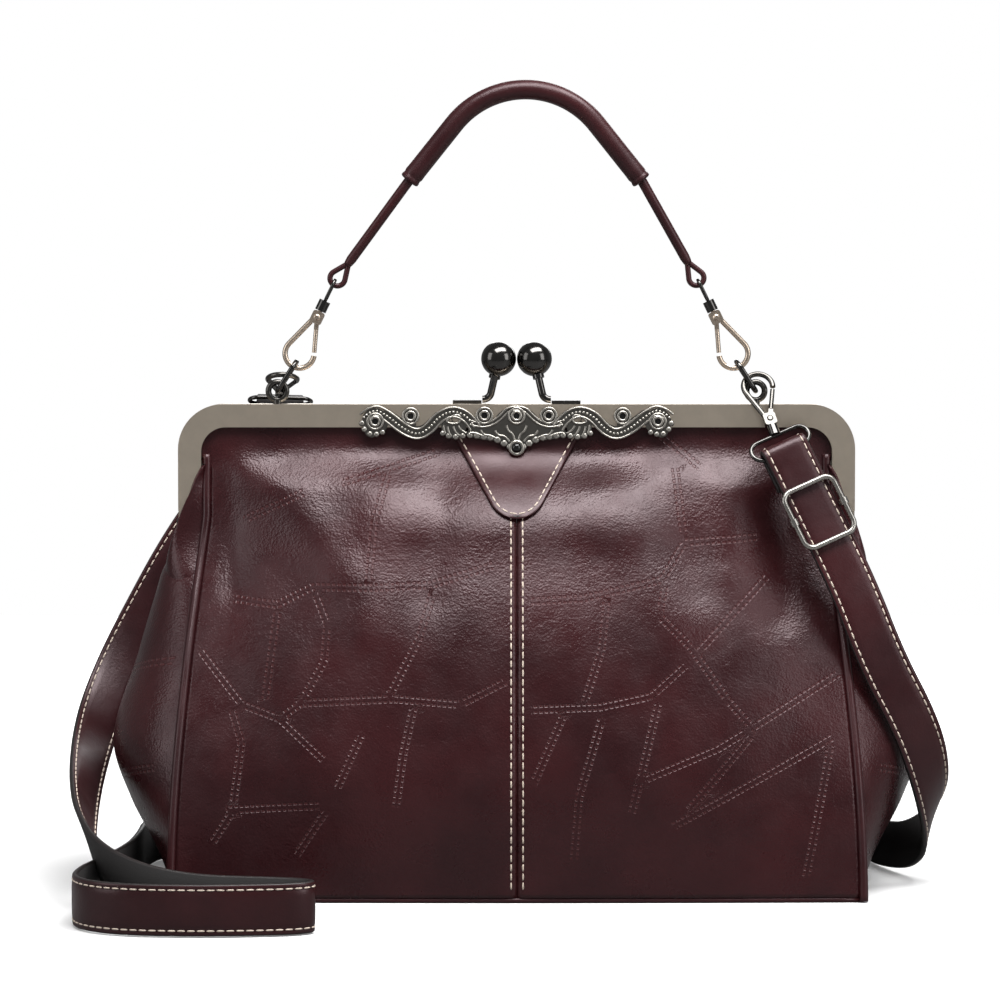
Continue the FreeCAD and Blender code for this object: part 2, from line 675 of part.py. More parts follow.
def hook_gate():
    """Flat eye on the rivet and a round lever that closes against the bow's tip."""
    plate = size("gate_plate")
    pivot = Vector(0, 0, rivet_height)
    down = on_bow(tip_angle) - pivot
    length = down.Length
    down.normalize()
    turn = Rotation(Vector(0, 0, 1), down)
    eye = Part.makeCylinder(gate_eye, plate, Vector(0, -plate / 2, rivet_height), Vector(0, 1, 0))
    rod = size("gate_rod")
    neck_end = size("gate_neck")
    neck = Part.makeBox(2 * rod, plate, neck_end, Vector(-rod, -plate / 2, 0))
    lever = Part.makeCylinder(rod, length - neck_end - size("hook_wire") - size("gate_clearance"),
                              Vector(0, 0, neck_end))
    arm = neck.fuse(lever)
    arm.Placement = Placement(pivot, turn)
    bore = Part.makeCylinder(size("rivet_radius") + size("swivel_clearance"), plate,
                             Vector(0, -plate / 2, rivet_height), Vector(0, 1, 0))
    return eye.fuse(arm).cut(bore).removeSplitter()


def hook_rivet():
    half = size("hook_head_depth") / 2
    back, front = Vector(0, half, rivet_height), Vector(0, -half, rivet_height)
    shank = Part.makeCylinder(size("rivet_radius"), 2 * half, front, Vector(0, 1, 0))
    heads = [Part.makeCone(size("rivet_head_radius"), size("rivet_radius"), size("rivet_head"), place, way)
             for place, way in ((back, Vector(0, 1, 0)), (front, Vector(0, -1, 0)))]
    return shank.fuse(heads).removeSplitter()


def swivel_eye(wide, lean):
    """Collar that turns on the stud, with a narrow eye for a cord or a wide, leaning one for a strap."""
    collar = Part.makeCylinder(size("collar_radius"), size("collar_height"), Vector(0, 0, collar_start))
    loose = size("swivel_clearance")
    middle = head_top + size("stud_length") - size("button_height") / 2
    bore = Part.makeCylinder(size("stud_radius") + loose, middle - collar_start, Vector(0, 0, collar_start))
    room = Part.makeCylinder(size("button_radius") + loose, size("button_room"),
                             Vector(0, 0, middle - size("button_room") / 2))
    if wide:
        rise = Vector(0, 0, size("dee_end_radius"))
        loop = tube(stadium(Vector(0, 0, 1), Vector(1, 0, 0), size("dee_half_straight"),
                            size("dee_end_radius"), rise), size("dee_wire"))
        loop.Placement = Placement(Vector(0, 0, collar_top), Rotation(Vector(0, 1, 0), lean))
    else:
        end_radius = size("eye_half_width") - size("eye_wire")
        half = size("eye_length") / 2
        loop = tube(stadium(Vector(0, 1, 0), Vector(0, 0, 1), half - end_radius, end_radius,
                            Vector(0, 0, collar_top + half - size("eye_sink"))), size("eye_wire"))
    return collar.cut(bore.fuse(room)).fuse(loop).removeSplitter()


def make_hook(label, place, wide, lean=0.0):
    solid_piece(f"{label}_body", hook_body(), place)
    solid_piece(f"{label}_gate", hook_gate(), place)
    solid_piece(f"{label}_rivet", hook_rivet(), place)
    solid_piece(f"{label}_swivel", swivel_eye(wide, lean), place)


# Handle hooks hang the handle on the jump rings, with their gates towards the middle.
handle_hooks = {}
for side_name, hand in (("left", -1), ("right", 1)):
    lean = Rotation(Vector(0, 1, 0), -hand * size("ring_tilt"))
    drop = size("ring_length") - size("ring_wire") - size("hook_wire") - size("link_clearance")
    ring_foot = Vector(hand * eyelet_x, -slot_middle, eyelet_height)
    turned = Rotation(Vector(0, 0, 1), 90 + 90 * hand)
    upright = Rotation(Vector(0, 1, 0), -hand * size("hook_tilt"))
    place = Placement(ring_foot + lean.multVec(Vector(0, 0, drop)), upright.multiply(turned))
    handle_hooks[side_name] = place
    make_hook(f"handle_hook_{side_name}", place, False)

# Strap hooks hang on the eyelets: the right one down the front, the left one back over the frame.
# Each has its slope sideways and forward, how far its bow sits inwards and forwards of the eyelet, and the
# lean of its wide eye.
STRAP_HOOK_SLOPES = {"left": (5.0, -70.0), "right": (15.0, 32.0)}
STRAP_HOOK_SHIFTS = {"left": (2.2, 0.0), "right": (0.7, 0.2)}
DEE_LEANS = {"left": 0.0, "right": 12.0}
bow_rise = size("eyelet_mean") + size("eyelet_tube") + size("strap_hook_clearance") + size("hook_wire")
strap_hooks = {}
for side_name, hand in (("left", -1), ("right", 1)):
    sideways, forward = (math.radians(angle) for angle in STRAP_HOOK_SLOPES[side_name])
    axis = Vector(hand * math.sin(sideways), -math.cos(sideways) * math.sin(forward),
                  -math.cos(sideways) * math.cos(forward))
    face = Vector(0, -math.cos(forward), math.sin(forward))
    inwards, forwards = STRAP_HOOK_SHIFTS[side_name]
    crest = Vector(hand * (eyelet_x - inwards), -slot_middle - forwards, eyelet_height + bow_rise)
    place = Placement(crest, Rotation(face.cross(axis), face, axis, "ZXY"))
    strap_hooks[side_name] = place
    make_hook(f"strap_hook_{side_name}", place, True, DEE_LEANS[side_name])


# Rolled handle: a sleeved grip over the top and a cord with an end loop on each side.
# The grip's ends lie at a share of the way up from the hooks to its crest, and its sides are this much
# steeper than a straight line to the crest.
GRIP_END_SHARE = 0.53
GRIP_STEEPNESS = 1.6


def make_handle():
    eye_top = collar_top + size("eye_length") - size("eye_sink") - size("eye_wire")
    strand = size("loop_strand")
    loop_foot = Vector(0, 0, eye_top - size("link_clearance") - strand)
    half, crest = size("grip_half_span"), size("grip_crest")
    eye_height = handle_hooks["left"].multVec(loop_foot).z
    end_height = eye_height + GRIP_END_SHARE * (crest - eye_height)
    slope = math.atan(GRIP_STEEPNESS * (crest - end_height) / half)
    apex = end_height + half * math.tan(slope)
    bend = (apex - crest) / (1 / math.cos(slope) - 1)
    middle = size("grip_shift")
    ends = [Vector(middle - half, -slot_middle, end_height), Vector(middle + half, -slot_middle, end_height)]
    grip = bent_line([ends[0], Vector(middle, -slot_middle, apex), ends[1]], bend)
    solid_piece("handle_grip", tube(grip, size("grip_radius")))
    for side_name, grip_end in zip(("left", "right"), ends):
        foot = handle_hooks[side_name].multVec(loop_foot)
        along = (grip_end - foot).normalize()
        centre = foot + along * size("loop_radius")
        loop = Part.makeTorus(size("loop_radius"), strand, centre, Vector(0, 1, 0))
        neck = centre + along * size("loop_radius")
        length = (grip_end - neck).Length - size("sleeve_gap")
        cord = Part.makeCylinder(size("cord_radius"), length, neck, along)
        solid_piece(f"handle_cord_{side_name}", loop.fuse(cord).removeSplitter())


make_handle()


# Filigree ornament on the front jaw: a pierced plate of scrolls, the same on both sides, with raised rings.
# Places are in the plate's own plane: distance from the middle, and height below the frame's top.
CENTRE_EYE = (0.0, 4.6)
INNER_EYE = (12.8, 4.5)
OUTER_EYE = (42.2, 4.7)
END_EYE = (56.3, 6.8)
DROP_STONE = (0.0, 17.4)
LEAF = (25.0, 8.6)
COMMA = ((24.2, 5.9, 1.4), (26.6, 6.4, 0.8))
EYE_HOLE = 1.1
EYE_RIM = 3.6
SCROLL_RADIUS = 5.3
LEAF_RADIUS = 5.0
TENDRILS = ((42.4, 8.4, 2.4), (57.8, 10.6, 2.6))
STONE_RADIUS = 2.6
face_y = -(size("parting_gap") / 2 + size("jaw_depth"))


def at_plate(across, below, out=0.0):
    return Vector(across, face_y - out, size("frame_top") - below)


def disc(place, radius, thickness, out=0.0):
    """Round plate facing the front."""
    return Part.makeCylinder(radius, thickness, at_plate(*place, out), Vector(0, -1, 0))


def filigree_half():
    """The right half: half of the centre shield, the S-shaped band, its leaf and the eyes' discs."""
    plate = size("filigree_plate")
    crest, shoulder, flank = at_plate(0, 0.7), at_plate(9, 6.2), at_plate(18, 6.8)
    hip, waist, point = at_plate(20, 12.2), at_plate(9, 14.4), at_plate(0, 18.5)
    shield = Part.Face(Part.Wire([
        Part.Arc(crest, at_plate(5.5, 2.4), shoulder).toShape(),
        Part.Arc(shoulder, at_plate(13.5, 7.6), flank).toShape(),
        Part.makeLine(flank, hip), Part.Arc(hip, at_plate(14.5, 13.8), waist).toShape(),
        Part.makeLine(waist, point), Part.makeLine(point, crest)]))
    band_line = Part.Wire([
        Part.Arc(at_plate(16.5, 9.5), at_plate(20.3, 5.2), at_plate(25.2, 3.4)).toShape(),
        Part.Arc(at_plate(25.2, 3.4), at_plate(30.6, 5.6), at_plate(34.4, 9.0)).toShape(),
        Part.Arc(at_plate(34.4, 9.0), at_plate(39.2, 11.2), at_plate(44.4, 9.6)).toShape(),
        Part.makeLine(at_plate(44.4, 9.6), at_plate(51.5, 4.6))])
    band = band_line.makeOffset2D(size("filigree_band") / 2, fill=False, openResult=False)
    out = Vector(0, -plate, 0)
    solids = [Part.Face(band).extrude(out), disc(LEAF, LEAF_RADIUS, plate)]
    solids += [disc(END_EYE, SCROLL_RADIUS, plate)]
    solids += [disc(eye, EYE_RIM, plate) for eye in (INNER_EYE, OUTER_EYE)]
    solids += [disc((across, below), radius, plate) for across, below, radius in TENDRILS]
    return shield.extrude(out).fuse(solids)


def make_filigree():
    plate = size("filigree_plate")
    half = filigree_half()
    whole = half.fuse([half.mirror(Vector(), Vector(1, 0, 0)), disc(DROP_STONE, STONE_RADIUS, plate)])
    boss = size("filigree_boss")
    holes, studs = [], []
    for eye in (CENTRE_EYE, INNER_EYE, OUTER_EYE, END_EYE):
        for hand in ((1, -1) if eye[0] else (1,)):
            place = (hand * eye[0], eye[1])
            hole = disc(place, EYE_HOLE, plate + boss)
            holes.append(hole)
            studs.append(disc(place, EYE_RIM * 0.75, boss, plate).cut(hole))
    for across, below, radius in COMMA:
        holes += [disc((hand * across, below), radius, plate) for hand in (1, -1)]
    stone = disc(DROP_STONE, STONE_RADIUS, boss, plate)
    dome = Part.makeSphere(STONE_RADIUS * 0.8, at_plate(*DROP_STONE, plate + boss))
    front_half = disc(DROP_STONE, STONE_RADIUS, STONE_RADIUS, plate + boss)
    studs.append(stone.fuse(dome.common(front_half)).removeSplitter())
    solid_piece("filigree_plate", whole.cut(holes).removeSplitter())
    solid_piece("filigree_studs", Part.makeCompound(studs))


make_filigree()

# Shoulder strap: its route from the right strap hook, past the bag's right side, along the floor behind it,
# round the left side to a fold on the floor in front, back, and up behind the frame to the left strap hook.
# Each point has the direction of the strap's width there.
ON_EDGE = (0.0, 0.0, 1.0)
STRAP_FLOOR = size("strap_width") / 2 + 0.6
FREE_ROUTE = (
    ((143.0, -38.0, 92.0), (0.92, 0.1, 0.38)), ((157.0, -36.0, 66.0), (0.8, 0.15, 0.58)),
    ((164.0, -28.0, 44.0), (0.6, 0.2, 0.77)), ((166.0, -12.0, 26.0), (0.3, 0.1, 0.95)),
    ((160.0, 8.0, 13.0), ON_EDGE), ((150.0, 36.0, STRAP_FLOOR), ON_EDGE),
    ((146.0, 62.0, STRAP_FLOOR), ON_EDGE), ((112.0, 77.0, STRAP_FLOOR), ON_EDGE),
    ((50.0, 74.0, STRAP_FLOOR), ON_EDGE), ((-10.0, 72.0, STRAP_FLOOR), ON_EDGE),
    ((-65.0, 74.0, STRAP_FLOOR), ON_EDGE), ((-112.0, 77.0, STRAP_FLOOR), ON_EDGE),
    ((-147.0, 64.0, STRAP_FLOOR), ON_EDGE), ((-153.0, 36.0, STRAP_FLOOR), ON_EDGE),
    ((-152.0, 4.0, STRAP_FLOOR), ON_EDGE), ((-153.0, -30.0, STRAP_FLOOR), ON_EDGE),
    ((-159.0, -64.0, STRAP_FLOOR), ON_EDGE), ((-166.0, -94.0, STRAP_FLOOR), ON_EDGE),
    ((-165.0, -119.0, STRAP_FLOOR), ON_EDGE), ((-149.0, -134.0, STRAP_FLOOR), ON_EDGE),
    ((-121.0, -138.0, STRAP_FLOOR), ON_EDGE), ((-95.0, -136.0, STRAP_FLOOR), ON_EDGE),
    ((-80.0, -133.0, STRAP_FLOOR), ON_EDGE), ((-74.5, -127.0, STRAP_FLOOR), ON_EDGE),
    ((-80.0, -121.0, STRAP_FLOOR), ON_EDGE), ((-97.0, -117.0, STRAP_FLOOR), ON_EDGE),
    ((-120.0, -113.0, STRAP_FLOOR), ON_EDGE), ((-141.0, -106.0, 13.0), ON_EDGE),
    ((-157.0, -88.0, 18.5), (-0.2, 0.0, 0.98)), ((-167.0, -58.0, 27.0), (-0.35, 0.0, 0.94)),
    ((-171.0, -28.0, 38.0), (-0.5, 0.0, 0.87)), ((-172.0, 0.0, 50.0), (-0.62, 0.0, 0.78)),
    ((-170.0, 23.0, 64.0), (-0.74, 0.0, 0.67)), ((-163.0, 37.0, 84.0), (-0.82, 0.1, 0.56)),
    ((-152.0, 44.0, 106.0), (-0.87, 0.0, 0.49)), ((-139.0, 47.0, 130.0), (-0.88, 0.0, 0.47)),
    ((-124.0, 48.0, 152.0), (-0.92, 0.0, 0.4)), ((-110.0, 46.0, 170.0), (-0.95, 0.0, 0.3)),
)
# The route is drawn for a frame of this width; its two sides move out with a wider one.
ROUTE_FRAME = 270.0
STRAP_TAIL = 14.0
SLIDER_PLACE = 28.0
STRAIGHT_END = 60.0
RIGHT_RUN = Vector(0.5, -0.15, -0.85)
LEFT_RUN = Vector(-0.3, 0.55, -0.78)
STATIONS_PER_SPAN = 2
wrap = size("dee_wire") + size("link_clearance") + size("strap_leather") / 2


def free_point(point):
    """A point of the free route, moved out with the frame's end on its side."""
    spread = (size("frame_width") - ROUTE_FRAME) / 2
    return Vector(*point) + Vector(math.copysign(spread, point[0]), 0, 0)


def strap_end(side_name, run, hand):
    """Points round a strap hook's far bar: the tail behind, the turn and the start of the run."""
    hook = strap_hooks[side_name]
    lean = Rotation(Vector(0, 1, 0), DEE_LEANS[side_name])
    bar = hook.multVec(Vector(0, 0, collar_top) + lean.multVec(Vector(0, 0, 2 * size("dee_end_radius"))))
    width = hook.Rotation.multVec(lean.multVec(Vector(1, 0, 0)))
    width = width if width.x * hand > 0 else width * -1
    run = (run - width * width.dot(run)).normalize()
    front = width.cross(run).normalize()
    front = front if front.y * hand < 0 else front * -1
    back, ahead = bar - front * wrap, bar + front * wrap
    over = 1.3 * wrap
    return run, width, front, ahead, [back + run * STRAP_TAIL, back + run * 2 * wrap, back - run * over,
                                      ahead - run * over, ahead + run * 2 * wrap]


right_run, right_width, right_front, right_start, right_end = strap_end("right", RIGHT_RUN, 1)
left_run, left_width, left_front, left_start, left_end = strap_end("left", LEFT_RUN, -1)
straight = [right_start + right_run * reach for reach in (SLIDER_PLACE, STRAIGHT_END)]
strap_poles = right_end + straight + [free_point(point) for point, width in FREE_ROUTE] + left_end[::-1]
strap_widths = [right_width] * (len(right_end) + len(straight))
strap_widths += [Vector(*width) for point, width in FREE_ROUTE] + [left_width] * len(left_end)


def quadratic(poles):
    """Open curve drawn by its poles, ending on the first and the last."""
    curve = Part.BSplineCurve()
    spans = len(poles) - 2
    curve.buildFromPolesMultsKnots(poles, [3] + [1] * (spans - 1) + [3], list(range(spans + 1)), False, 2)
    return curve


def make_strap():
    line, edge = quadratic(strap_poles), quadratic(strap_widths)
    count = (len(strap_poles) - 2) * STATIONS_PER_SPAN
    sections = []
    for index in range(count + 1):
        place = index / STATIONS_PER_SPAN
        centre = line.value(place)
        tangent = Vector(*line.tangent(place)[0])
        across = edge.value(place)
        across = (across - tangent * across.dot(tangent)).normalize() * (size("strap_width") / 2)
        through = tangent.cross(across).normalize() * (size("strap_leather") / 2)
        corners = [centre + across + through, centre - across + through,
                   centre - across - through, centre + across - through]
        sections.append(Part.makePolygon(corners + corners[:1]))
    strap = Part.makeLoft(sections, True, True)
    length = line.length()
    print("strap length", round(length, 1), "volume share",
          round(strap.Volume / (length * size("strap_width") * size("strap_leather")), 3))
    return solid_piece("shoulder_strap", strap)


make_strap()


# Slider: a round-cornered wire frame in front of the strap and a bar behind it, hooked on the frame's sides.
def make_slider():
    wire = size("slider_wire")
    front = size("strap_leather") / 2 + size("slider_clearance") + wire
    half_width = size("strap_width") / 2 + size("slider_clearance") + wire
    half_length = size("slider_length") / 2
    bend = size("slider_corner")
    corners = [Vector(half_width, 0, front), Vector(half_width, half_length, front),
               Vector(-half_width, half_length, front), Vector(-half_width, -half_length, front),
               Vector(half_width, -half_length, front), Vector(half_width, 0, front)]
    frame = tube(bent_line(corners, bend), wire)
    bar_wire = size("slider_bar_wire")
    sleeve_length = size("slider_sleeve_length")
    under = front - wire - size("rivet_clearance")
    posts = [Vector(half_width, 0, under), Vector(half_width, 0, -front),
             Vector(-half_width, 0, -front), Vector(-half_width, 0, under)]
    bar = tube(bent_line(posts, 1.5 * bar_wire), bar_wire)
    for hand in (1, -1):
        place = Vector(hand * half_width, -sleeve_length / 2, front)
        sleeve = Part.makeCylinder(size("slider_sleeve_radius"), sleeve_length, place, Vector(0, 1, 0))
        hole = Part.makeCylinder(wire + size("rivet_clearance"), sleeve_length, place, Vector(0, 1, 0))
        bar = bar.fuse(sleeve).cut(hole)
    middle = right_start + right_run * SLIDER_PLACE
    place = Placement(middle, Rotation(right_width, right_run * -1, right_front, "ZXY"))
    solid_piece("slider_frame", frame, place)
    solid_piece("slider_bar", bar.removeSplitter(), place)


make_slider()

doc.recompute()
failed = [obj.Name for obj in doc.Objects if {"Invalid", "Error"} & set(obj.State)]
failed += [label for label, obj in pieces.items() if obj.Shape.isNull() or not obj.Shape.isValid()]
if failed:
    raise RuntimeError("not built: " + ", ".join(failed))
os.makedirs("parts", exist_ok=True)
for label, obj in pieces.items():
    obj.Shape.exportStep(f"parts/{label}.step")
    print(label, len(obj.Shape.Solids), round(obj.Shape.Volume, 1))
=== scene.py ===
from math import acos, atan2, copysign, cos, exp, hypot, pi, radians, sin, sqrt, tan

import bpy
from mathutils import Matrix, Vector


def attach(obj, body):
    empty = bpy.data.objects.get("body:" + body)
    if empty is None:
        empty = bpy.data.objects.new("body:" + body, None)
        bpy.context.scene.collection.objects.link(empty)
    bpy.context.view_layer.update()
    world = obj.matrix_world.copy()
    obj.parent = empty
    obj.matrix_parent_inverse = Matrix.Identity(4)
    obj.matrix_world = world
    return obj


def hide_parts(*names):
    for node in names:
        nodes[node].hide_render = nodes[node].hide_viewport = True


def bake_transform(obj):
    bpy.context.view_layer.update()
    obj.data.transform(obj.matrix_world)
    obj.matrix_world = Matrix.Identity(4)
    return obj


# Kiss lock frame purse, dressed round its CAD frame. Metres, +Z up, the front faces -Y.
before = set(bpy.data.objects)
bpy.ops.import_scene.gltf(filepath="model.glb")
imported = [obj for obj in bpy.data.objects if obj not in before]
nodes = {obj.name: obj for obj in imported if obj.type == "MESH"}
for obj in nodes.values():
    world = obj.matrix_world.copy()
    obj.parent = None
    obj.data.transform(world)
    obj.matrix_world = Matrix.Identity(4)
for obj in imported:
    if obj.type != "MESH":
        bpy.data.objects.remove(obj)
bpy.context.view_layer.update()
scene = bpy.context.scene

MM = 0.001

# Sizes that the soft pieces share with the CAD solids
LEATHER = 1.5 * MM
FLOOR_TOP = 2 * MM
BASE_HALF_WIDTH = 134.5 * MM
BASE_HALF_DEPTH = 56 * MM
MOUTH_HALF_WIDTH = 123.7 * MM
GUSSET_TOP = 147 * MM
STRAIGHT_START = 170.5 * MM
LEATHER_TOP = 187 * MM
FRAME_TOP = 192 * MM
SLOT_MIDDLE = 3.075 * MM
FRONT_BULGE = 20 * MM
GUSSET_BULGE = 29.5 * MM
PIPING_RADIUS = 1.7 * MM
SEAM_ROOM = 2.1 * MM
CORNER_CURVE = 1.6

# Up to the gusset's top: share of the height, of the corner depth, of the front bulge
# and of the gusset bulge
LOWER_LEVELS = ((0.0, 1.0, 0.1, 0.05), (0.1, 0.98, 0.2, 0.33), (0.23, 0.93, 0.37, 0.72),
                (0.39, 0.815, 0.6, 1.0), (0.62, 0.575, 0.9, 0.76), (0.78, 0.365, 1.05, 0.6),
                (0.88, 0.225, 1.09, 0.47), (0.95, 0.15, 1.09, 0.12), (1.0, 0.125, 1.02, 0.04))
# Share of the height and of the front bulge, from there to the straight part inside the frame
UPPER_LEVELS = ((0.35, 0.75), (0.72, 0.38))
FLAT_BULGE = 0.1 * MM


# Materials. Scales are features in a metre, depths are shares of the bump's full depth.
NOISE_EDGES = (0.3, 0.7)
MOTTLE_SCALE, MOTTLE_EDGES = 28.0, (0.32, 0.7)
PORE_SCALE, PORE_DEPTH = 1100.0, 0.5
PEBBLE_SCALE, PEBBLE_DEPTH = 420.0, 0.8
CREASE_SCALE, CREASE_DEPTH, CREASE_BREADTH = 55.0, 0.2, 0.035
POLISH_SCALE, POLISH_LESS, POLISH_MORE = 70.0, 0.08, 0.05
LEATHER_BUMP = 0.25 * MM
LEATHER_SHINE = 0.4
LEATHER_TINT = (1.0, 0.84, 0.87, 1)
PLAIN_SHADE, PLAIN_BUMP = 0.7, 0.4
METAL_SPREAD, METAL_POLISH = 0.08, 9
# Painted shade: colour of the metal behind the raised relief, where shade would fall
RECESS_SHADE_COLOUR = (0.15, 0.143, 0.13, 1)

# Stitch marks beside the pressed seams, with the fades of their sides and of their ends
MARK_COLOUR = (0.08, 0.02, 0.02, 1)
MARK_SHARE, MARK_DEPTH = 0.32, 1.2
MARK_OFFSET = 1.1 * MM
MARK_PITCH = 2.1 * MM
MARK_SIDE_FADE = (0.65 * MM, 0.3 * MM)
MARK_END_FADE = (0.4, 0.24)


def new_material(name):
    """A node material, with its tree and its shader."""
    material = bpy.data.materials.new(name)
    material.use_nodes = True
    return material, material.node_tree, material.node_tree.nodes["Principled BSDF"]


def set_inputs(tree, node, inputs):
    """Set a node's inputs to values, or link them to sockets."""
    for name, value in inputs.items():
        if isinstance(value, bpy.types.NodeSocket):
            tree.links.new(value, node.inputs[name])
        else:
            node.inputs[name].default_value = value


def add_node(tree, kind, inputs=None, **settings):
    """A node with its settings and its inputs."""
    node = tree.nodes.new(kind)
    for name, value in settings.items():
        setattr(node, name, value)
    set_inputs(tree, node, inputs or {})
    return node


def math_node(tree, operation, first, second=0.0):
    node = add_node(tree, "ShaderNodeMath", {0: first, 1: second}, operation=operation)
    return node.outputs[0]


def ramp(tree, value, low, high, start=0.0, end=1.0):
    """A smooth step of a value between two edges."""
    inputs = {"Value": value, "From Min": low, "From Max": high, "To Min": start, "To Max": end}
    step = add_node(tree, "ShaderNodeMapRange", inputs, interpolation_type="SMOOTHSTEP")
    return step.outputs[0]


def mix_colour(tree, share, first, second):
    inputs = {0: share, 6: first, 7: second}
    return add_node(tree, "ShaderNodeMix", inputs, data_type="RGBA").outputs[2]


def noise(tree, place, scale, detail=3.0, roughness=0.55):
    inputs = {"Vector": place, "Scale": scale, "Detail": detail, "Roughness": roughness}
    return add_node(tree, "ShaderNodeTexNoise", inputs).outputs[0]


def object_place(tree):
    return add_node(tree, "ShaderNodeTexCoord").outputs["Object"]


def stitch_marks(tree):
    """Two rows of short marks along each pressed seam, placed by the mesh's attributes."""
    across, along = (add_node(tree, "ShaderNodeAttribute", attribute_name=name).outputs["Fac"]
                     for name in ("seam_across", "seam_along"))
    row = math_node(tree, "SUBTRACT", math_node(tree, "ABSOLUTE", across), MARK_OFFSET)
    in_row = ramp(tree, math_node(tree, "ABSOLUTE", row), *MARK_SIDE_FADE)
    turn = math_node(tree, "FRACT", math_node(tree, "DIVIDE", along, MARK_PITCH))
    from_middle = math_node(tree, "ABSOLUTE", math_node(tree, "SUBTRACT", turn, 0.5))
    return math_node(tree, "MULTIPLY", in_row, ramp(tree, from_middle, *MARK_END_FADE))


def leather_material(name, dark, light, roughness, grain, stitched=False):
    """Waxed leather with mottled colour, grain and creases, and stitch marks if asked."""
    material, tree, shader = new_material(name)
    place = object_place(tree)
    mottle = ramp(tree, noise(tree, place, MOTTLE_SCALE, detail=5.0), *MOTTLE_EDGES)
    colour = mix_colour(tree, mottle, (*dark, 1), (*light, 1))
    pores = add_node(tree, "ShaderNodeTexVoronoi", {"Vector": place, "Scale": PORE_SCALE})
    pebble = noise(tree, place, PEBBLE_SCALE, detail=4.0)
    folds = noise(tree, place, CREASE_SCALE, detail=7.0, roughness=0.6)
    crease = math_node(tree, "ABSOLUTE", math_node(tree, "SUBTRACT", folds, 0.5))
    crease = ramp(tree, crease, 0.0, CREASE_BREADTH)
    layers = ((pores.outputs["Distance"], PORE_DEPTH), (pebble, PEBBLE_DEPTH),
              (crease, CREASE_DEPTH))
    first, second, third = (math_node(tree, "MULTIPLY", layer, depth) for layer, depth in layers)
    height = math_node(tree, "ADD", first, math_node(tree, "ADD", second, third))
    if stitched:
        mark = stitch_marks(tree)
        share = math_node(tree, "MULTIPLY", mark, MARK_SHARE)
        colour = mix_colour(tree, share, colour, MARK_COLOUR)
        height = math_node(tree, "SUBTRACT", height, math_node(tree, "MULTIPLY", mark, MARK_DEPTH))
    bump = add_node(tree, "ShaderNodeBump",
                    {"Height": height, "Strength": grain, "Distance": LEATHER_BUMP})
    rough = ramp(tree, noise(tree, place, POLISH_SCALE, detail=4.0), *NOISE_EDGES,
                 roughness - POLISH_MORE, roughness + POLISH_LESS)
    set_inputs(tree, shader, {
        "Base Color": colour, "Normal": bump.outputs[0], "Roughness": rough,
        "Specular IOR Level": LEATHER_SHINE, "Specular Tint": LEATHER_TINT})
    return material


def metal_material(name, colour, roughness, wear=0.15, scale=160.0, painted_shade=None):
    """Metal with slightly uneven tone and polish.

    Painted shade, when given, holds two places along Y: where the shade painted behind the relief
    is darkest, and where it ends.
    """
    material, tree, shader = new_material(name)
    place = object_place(tree)
    cloud = ramp(tree, noise(tree, place, scale, detail=5.0), *NOISE_EDGES)
    dull, worn = ((*(channel * level for channel in colour), 1) for level in (1 - wear, 1 + wear))
    tone = mix_colour(tree, cloud, dull, worn)
    if painted_shade is not None:
        # Painted shade: the metal darkens towards the shade colour behind the given place along Y
        depth = add_node(tree, "ShaderNodeSeparateXYZ", {0: place}).outputs[1]
        tone = mix_colour(tree, ramp(tree, depth, *painted_shade), RECESS_SHADE_COLOUR, tone)
    rough = ramp(tree, noise(tree, place, METAL_POLISH * scale), *NOISE_EDGES,
                 roughness * (1 - METAL_SPREAD), roughness * (1 + METAL_SPREAD))
    set_inputs(tree, shader, {"Base Color": tone, "Roughness": rough, "Metallic": 1.0})
    return material


def plain_material(name, colour, roughness, scale, depth):
    """Thread, cloth, paint, plastic or stone: one colour with a fine uneven surface."""
    material, tree, shader = new_material(name)
    fine = noise(tree, object_place(tree), scale)
    dull = [channel * PLAIN_SHADE for channel in colour]
    bump = add_node(tree, "ShaderNodeBump",
                    {"Height": fine, "Strength": PLAIN_BUMP, "Distance": depth})
    set_inputs(tree, shader, {
        "Base Color": mix_colour(tree, fine, (*dull, 1), (*colour, 1)),
        "Normal": bump.outputs[0], "Roughness": roughness})
    return material


panel_leather = leather_material("panel_leather", (0.021, 0.0042, 0.0052),
                                 (0.035, 0.007, 0.0082), 0.3, 0.6, stitched=True)
trim_leather = leather_material("trim_leather", (0.020, 0.0042, 0.0052),
                                (0.035, 0.0072, 0.0084), 0.34, 0.18)
edge_paint = plain_material("edge_paint", (0.012, 0.008, 0.008), 0.45, 900.0, 0.1 * MM)
strap_back = plain_material("strap_back", (0.012, 0.010, 0.010), 0.75, 1500.0, 0.15 * MM)
thread = plain_material("thread", (0.72, 0.60, 0.50), 0.7, 2500.0, 0.1 * MM)
lining_cloth = plain_material("lining_cloth", (0.06, 0.045, 0.04), 0.8, 2200.0, 0.1 * MM)
board_plastic = plain_material("board_plastic", (0.05, 0.05, 0.05), 0.6, 500.0, 0.1 * MM)
pewter = metal_material("pewter", (0.84, 0.73, 0.6), 0.3, 0.03)
pale_bronze = metal_material("pale_bronze", (0.64, 0.53, 0.43), 0.3, 0.04)
steel = metal_material("brushed_steel", (0.36, 0.345, 0.32), 0.28, 0.06)
dark_bronze = metal_material("dark_bronze", (0.1, 0.095, 0.088), 0.24, 0.06)
gunmetal = metal_material("gunmetal", (0.08, 0.077, 0.074), 0.14)
# Ornament pewter, with shade painted on the plate behind the relief
shaded_pewter = metal_material("pewter_painted_shade", (0.4, 0.38, 0.345), 0.34, 0.12, 200.0,
                         painted_shade=(-7.35 * MM, -7.85 * MM))
black_stone = plain_material("black_stone", (0.006, 0.006, 0.006), 0.12, 300.0, 0.01 * MM)


# Number and mesh helpers

def unit(value):
    """A value held between zero and one."""
    return min(max(value, 0.0), 1.0)


def spread(start, end, count):
    """Evenly spaced values, both ends included."""
    return [start + (end - start) * i / (count - 1) for i in range(count)]


